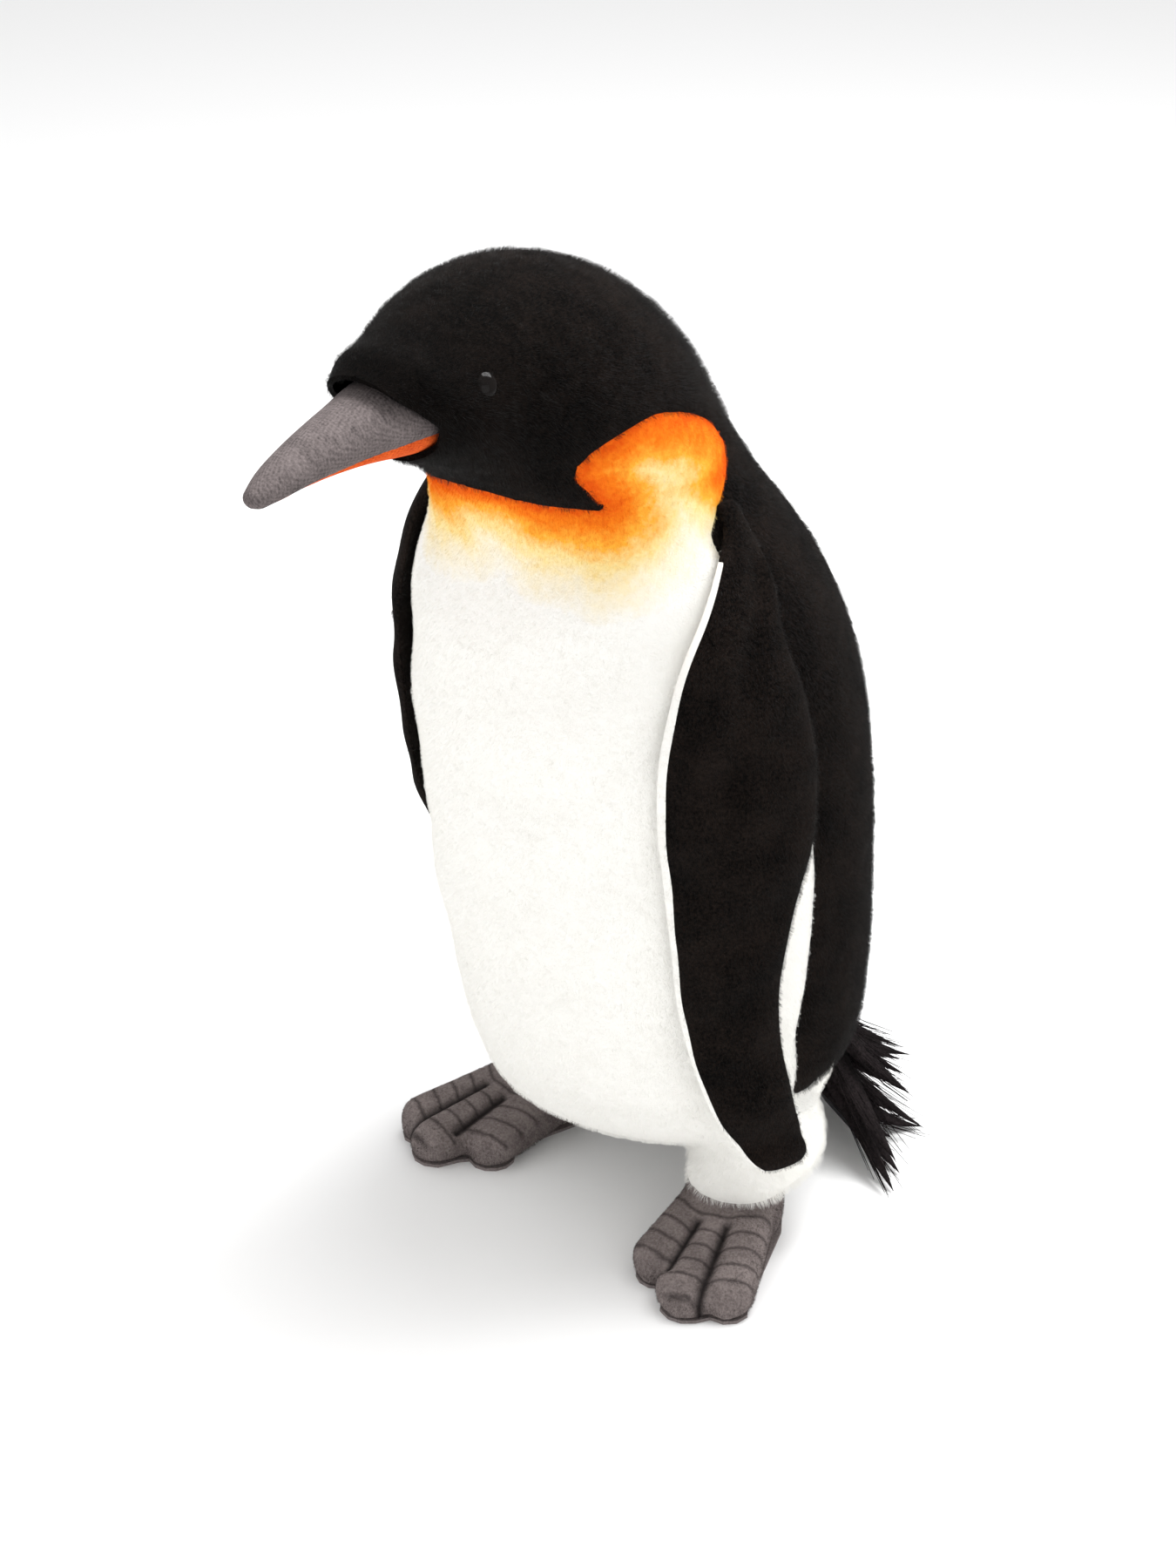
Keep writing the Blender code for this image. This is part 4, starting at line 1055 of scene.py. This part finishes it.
# -------------------- feet
def foot_to_world(place, side):
    """World points from a foot's own axes: sideways outward, forward, height."""
    x, y, splay = STANCE[side]
    turn = math.radians(splay)
    out = place[:, 0] * math.cos(turn) + place[:, 1] * math.sin(turn)
    back = place[:, 0] * math.sin(turn) - place[:, 1] * math.cos(turn)
    sign = 1 if x > 0 else -1
    return np.stack([x + sign * out, y + back, place[:, 2]], 1) + CENTRE


def world_to_foot(co, side):
    """A foot's own sideways and forward places of world points."""
    x, y, splay = STANCE[side]
    turn = math.radians(splay)
    sign = 1 if x > 0 else -1
    out, back = sign * (co[:, 0] - CENTRE[0] - x), co[:, 1] - CENTRE[1] - y
    return (out * math.cos(turn) + back * math.sin(turn),
            out * math.sin(turn) - back * math.cos(turn))


def toe_rings(side, sideways, reach, radius, start, heights):
    """A rounded finger on the floor, from near the ankle to a toe's tip."""
    end = np.array((sideways, reach - radius))
    start = np.array(start)
    length = np.linalg.norm(end - start)
    ahead = (end - start) / length
    across = np.array((ahead[1], -ahead[0]))
    low, high = heights
    rings = []
    angle = round_angles(28)
    # upright sides below, a round top above
    wide = np.sign(np.cos(angle)) * np.abs(np.cos(angle))**np.where(np.sin(angle) < 0, 0.35, 1.0)
    rounding = radius * np.sin(np.radians((15, 30, 45, 60, 72, 82)))
    for d in np.r_[np.linspace(0, length, 9), length + rounding]:
        past = max(0.0, d - length) / radius
        size = math.sqrt(max(1 - past**2, 0.0004)) * (1 + FOOT_EXTRA / radius)
        share = min(d / length, 1.0)
        tall = 0.5 * (high + (low - high) * share) * (0.45 + 0.55 * size)
        flat = start + ahead * d + np.outer(wide, across) * radius * size
        height = SOLE_TOP + tall * (1 + np.sin(angle))
        rings.append(foot_to_world(np.c_[flat, height], side))
    return rings


def toe_grooves(sideways, forward):
    """Distance to the nearer of the two stitched grooves between the toes."""
    near = []
    for (a, tip_a, _), (b, tip_b, _) in zip(TOES, TOES[1:]):
        first = np.array(((a + b) * 0.37, 0.040))
        last = np.array(((a + b) * 0.52, min(tip_a, tip_b) + 0.004))
        near.append(segment_distance(np.c_[sideways, forward], first, last))
    return np.min(near, axis=0)


def foot_solids(side):
    """Toes, the plush that joins them, the heel and the ankle."""
    solids = [toe_rings(side, s, tip, radius, (s * TOE_ROOT, 0.0), TOE_HEIGHT)
              for s, tip, radius in TOES]
    for s, reach in WEBS:
        solids.append(toe_rings(side, s, reach, WEB_R, (s * TOE_ROOT, 0.0), WEB_HEIGHT))
    solids.append(toe_rings(side, 0.0, *HEEL, (0.0, -0.004), HEEL_HEIGHT))
    angle = round_angles(36)
    solids.append([foot_to_world(np.c_[radius * np.cos(angle), radius * np.sin(angle),
                                       np.full(36, height)], side) for height, radius in ANKLE])
    return solids


def make_feet(looks):
    """Each foot's plush, with the stitched grooves between its toes and its painted bars."""
    for seed, side in enumerate(("left", "right")):
        foot = union_of(f"foot_{side}_plush", foot_solids(side))
        remesh(foot, FOOT_VOXEL, 4)
        co = coords(foot)
        grooves = toe_grooves(*world_to_foot(co, side))
        held = np.maximum(1 - fade(grooves, 0.002, 0.002), 1 - fade(co[:, 2], 0.005, 0.002))
        puff(foot, held, FOOT_SWELL)
        co = coords(foot)
        co[:, 2] -= GROOVE_SINK * bell(grooves, GROOVE_WIDTH) * fade(co[:, 2], 0, 0.02)
        co[:, 2] = np.maximum(co[:, 2], SOLE_TOP)
        set_coords(foot, co)
        finish_mesh(foot)
        co = coords(foot)
        s, f = world_to_foot(co, side)
        # bars only on the tops, from just in front of the ankle on
        bars = fade(f, 0.004, 0.006) * fade(co[:, 2], 0.006, 0.006)
        bars *= fade(normals(foot)[:, 2], 0.05, 0.35)
        dark = bell(toe_grooves(s, f), GROOVE_DARK)
        paint(foot, "foot", np.hypot(s, f) / BAR_SPAN, dark, bars)
        foot.data.materials.append(looks["foot_plush", "cloth"])
        add_pile(foot, looks["foot_plush", "pile"], PILE["foot"], 30 + seed, FOOT_PILE_DENSITY,
                 lean=0.4)
        stand_in(foot, (f"foot_{side}_upper", f"foot_{side}_stuffing"))


# -------------------- tail
def tail_root(psi, drop):
    """Point of the seam that the tail hangs from; psi is its direction from straight back."""
    _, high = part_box("tail_fur")
    forward, half_width, _, back = body_at(high[2])
    x = TAIL_ROOT_HALF * psi / TAIL_SPREAD
    y = forward + back * math.sqrt(1 - (x / half_width)**2) - 0.002
    return Vector((x + CENTRE[0], y + CENTRE[1], high[2] - 0.004 - drop))


def tuft(psi, drop, length, width, style, steps=8, sides=7, flat=0.5):
    """A pointed, slightly curved lock of fur; style is its turn, its fall and its bend.

    A lock that would reach the floor is bent up to stay over it.
    """
    root = tail_root(psi, drop)
    turned, down, bend = style
    yaw = psi + turned
    out = Vector((math.sin(yaw), math.cos(yaw), 0))
    side = Vector((math.cos(yaw), -math.sin(yaw), 0))
    rings = []
    for i in range(steps):
        t = i / (steps - 1)
        fall = down * t * (1.35 - 0.5 * t)
        centre = root + out * (length * t * (1 - 0.12 * t)) - Vector((0, 0, length * fall * 0.85))
        centre += side * (length * bend * t * t)
        size = width * (1 - t)**0.75 * (0.55 + 0.9 * t * (1 - t)) + 0.0002
        up = out.cross(side)
        ring = [centre + side * (math.cos(a) * size) + up * (math.sin(a) * size * flat)
                for a in round_angles(sides)]
        rings.append(np.array(ring))
    lift = max(0.0, TAIL_CLEAR - min(ring[:, 2].min() for ring in rings))
    for i, ring in enumerate(rings):
        ring[:, 2] += lift * (i / (steps - 1))**1.2
    return rings


def tail_length(psi):
    middle, side = TAIL_LENGTH
    return middle + (side - middle) * math.sin(psi)**2


def make_tail(looks):
    """Layers of broad locks, each with thin strands beside it."""
    rng = random.Random(11)
    locks = []
    for layer in range(TAIL_LAYERS):
        for k in range(TAIL_LOCKS):
            spread = (k / (TAIL_LOCKS - 1) * 2 - 1) * TAIL_SPREAD * 0.97
            psi = spread + rng.uniform(-0.07, 0.07)
            drop = 0.003 + 0.011 * layer
            length = tail_length(psi) * rng.uniform(0.90, 1.50) * (1.04 - 0.07 * layer)
            width = rng.uniform(0.0125, 0.0180)
            style = (rng.uniform(-0.2, 0.2), rng.uniform(0.75, 1.2), rng.uniform(-0.25, 0.25))
            locks.append(tuft(psi, drop, length, width, style))
            for _ in range(TAIL_STRANDS):
                aside = rng.uniform(-1, 1) * width * 0.6
                strand = (style[0] + rng.uniform(-0.05, 0.05), style[1] + rng.uniform(-0.08, 0.08),
                          style[2] - 0.8 * aside / length)
                locks.append(tuft(psi + aside / TAIL_ROOT_HALF, drop + rng.uniform(-1, 1) * 0.004,
                                  length * rng.uniform(0.75, 1.04), rng.uniform(0.0006, 0.0012),
                                  strand, steps=5, sides=3))
    tail = union_of("tail_locks", locks)
    tail.data.shade_smooth()
    tail.data.materials.append(looks["long_fur"])
    stand_in(tail, ("tail_fur",), "tail")


# -------------------- nodes kept from the frame
def dress_kept_nodes(looks):
    """Materials for the frame's own solids that no piece stands for."""
    kept = {"foot_left_sole": "felt", "foot_right_sole": "felt", "care_label": "satin",
            "insole_left_board": "board", "insole_right_board": "board", "leg_wire": "wire",
            "spine_wire": "wire", "pellet_bag": "bag", "eye_washer_left": "plastic",
            "eye_washer_right": "plastic", "tail_lining": "backing"}
    for name, look in kept.items():
        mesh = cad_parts[name].data
        mesh.materials.clear()
        mesh.materials.append(looks[look])


# -------------------- stage
def make_stage():
    """A pale floor, a white sky and soft lamps."""
    h = FLOOR_HALF
    floor = mesh_object("floor", [(-h, -h, 0), (h, -h, 0), (h, h, 0), (-h, h, 0)], [(0, 1, 2, 3)])
    shader = Shader("studio_floor")
    shader.set(Base_Color=(FLOOR_GREY, FLOOR_GREY, FLOOR_GREY), Roughness=0.9)
    floor.data.materials.append(shader.mat)
    world = bpy.data.worlds.new("studio")
    world.use_nodes = True
    sky = world.node_tree.nodes["Background"].inputs
    sky["Color"].default_value = (1.0, 1.0, 1.0, 1.0)
    sky["Strength"].default_value = WORLD_STRENGTH
    bpy.context.scene.world = world
    for name, (place, size, power) in LIGHTS.items():
        data = bpy.data.lights.new(name, "AREA")
        data.size = size
        data.energy = power
        light = new_object(name, data)
        light.location = place
        light.rotation_euler = (LIGHT_TARGET - light.location).to_track_quat("-Z", "Y").to_euler()


def make_camera():
    """The photo's view: from the front, the toy's left and above."""
    data = bpy.data.cameras.new("camera")
    configure(data, lens=LENS, sensor_fit="VERTICAL", sensor_height=SENSOR)
    camera = new_object("camera", data)
    flat = math.cos(CAMERA_ELEVATION)
    back = Vector((math.sin(CAMERA_AZIMUTH) * flat, -math.cos(CAMERA_AZIMUTH) * flat,
                   math.sin(CAMERA_ELEVATION)))
    camera.location = CAMERA_TARGET + CAMERA_REACH * back
    camera.rotation_euler = (-back).to_track_quat("-Z", "Y").to_euler()
    bpy.context.scene.camera = camera


def build():
    bpy.context.scene.view_settings.view_transform = "Standard"
    looks = make_materials()
    make_body(looks)
    make_beak(looks)
    make_eyes(looks)
    make_flippers(looks)
    make_feet(looks)
    make_tail(looks)
    dress_kept_nodes(looks)
    make_stage()
    make_camera()


build()
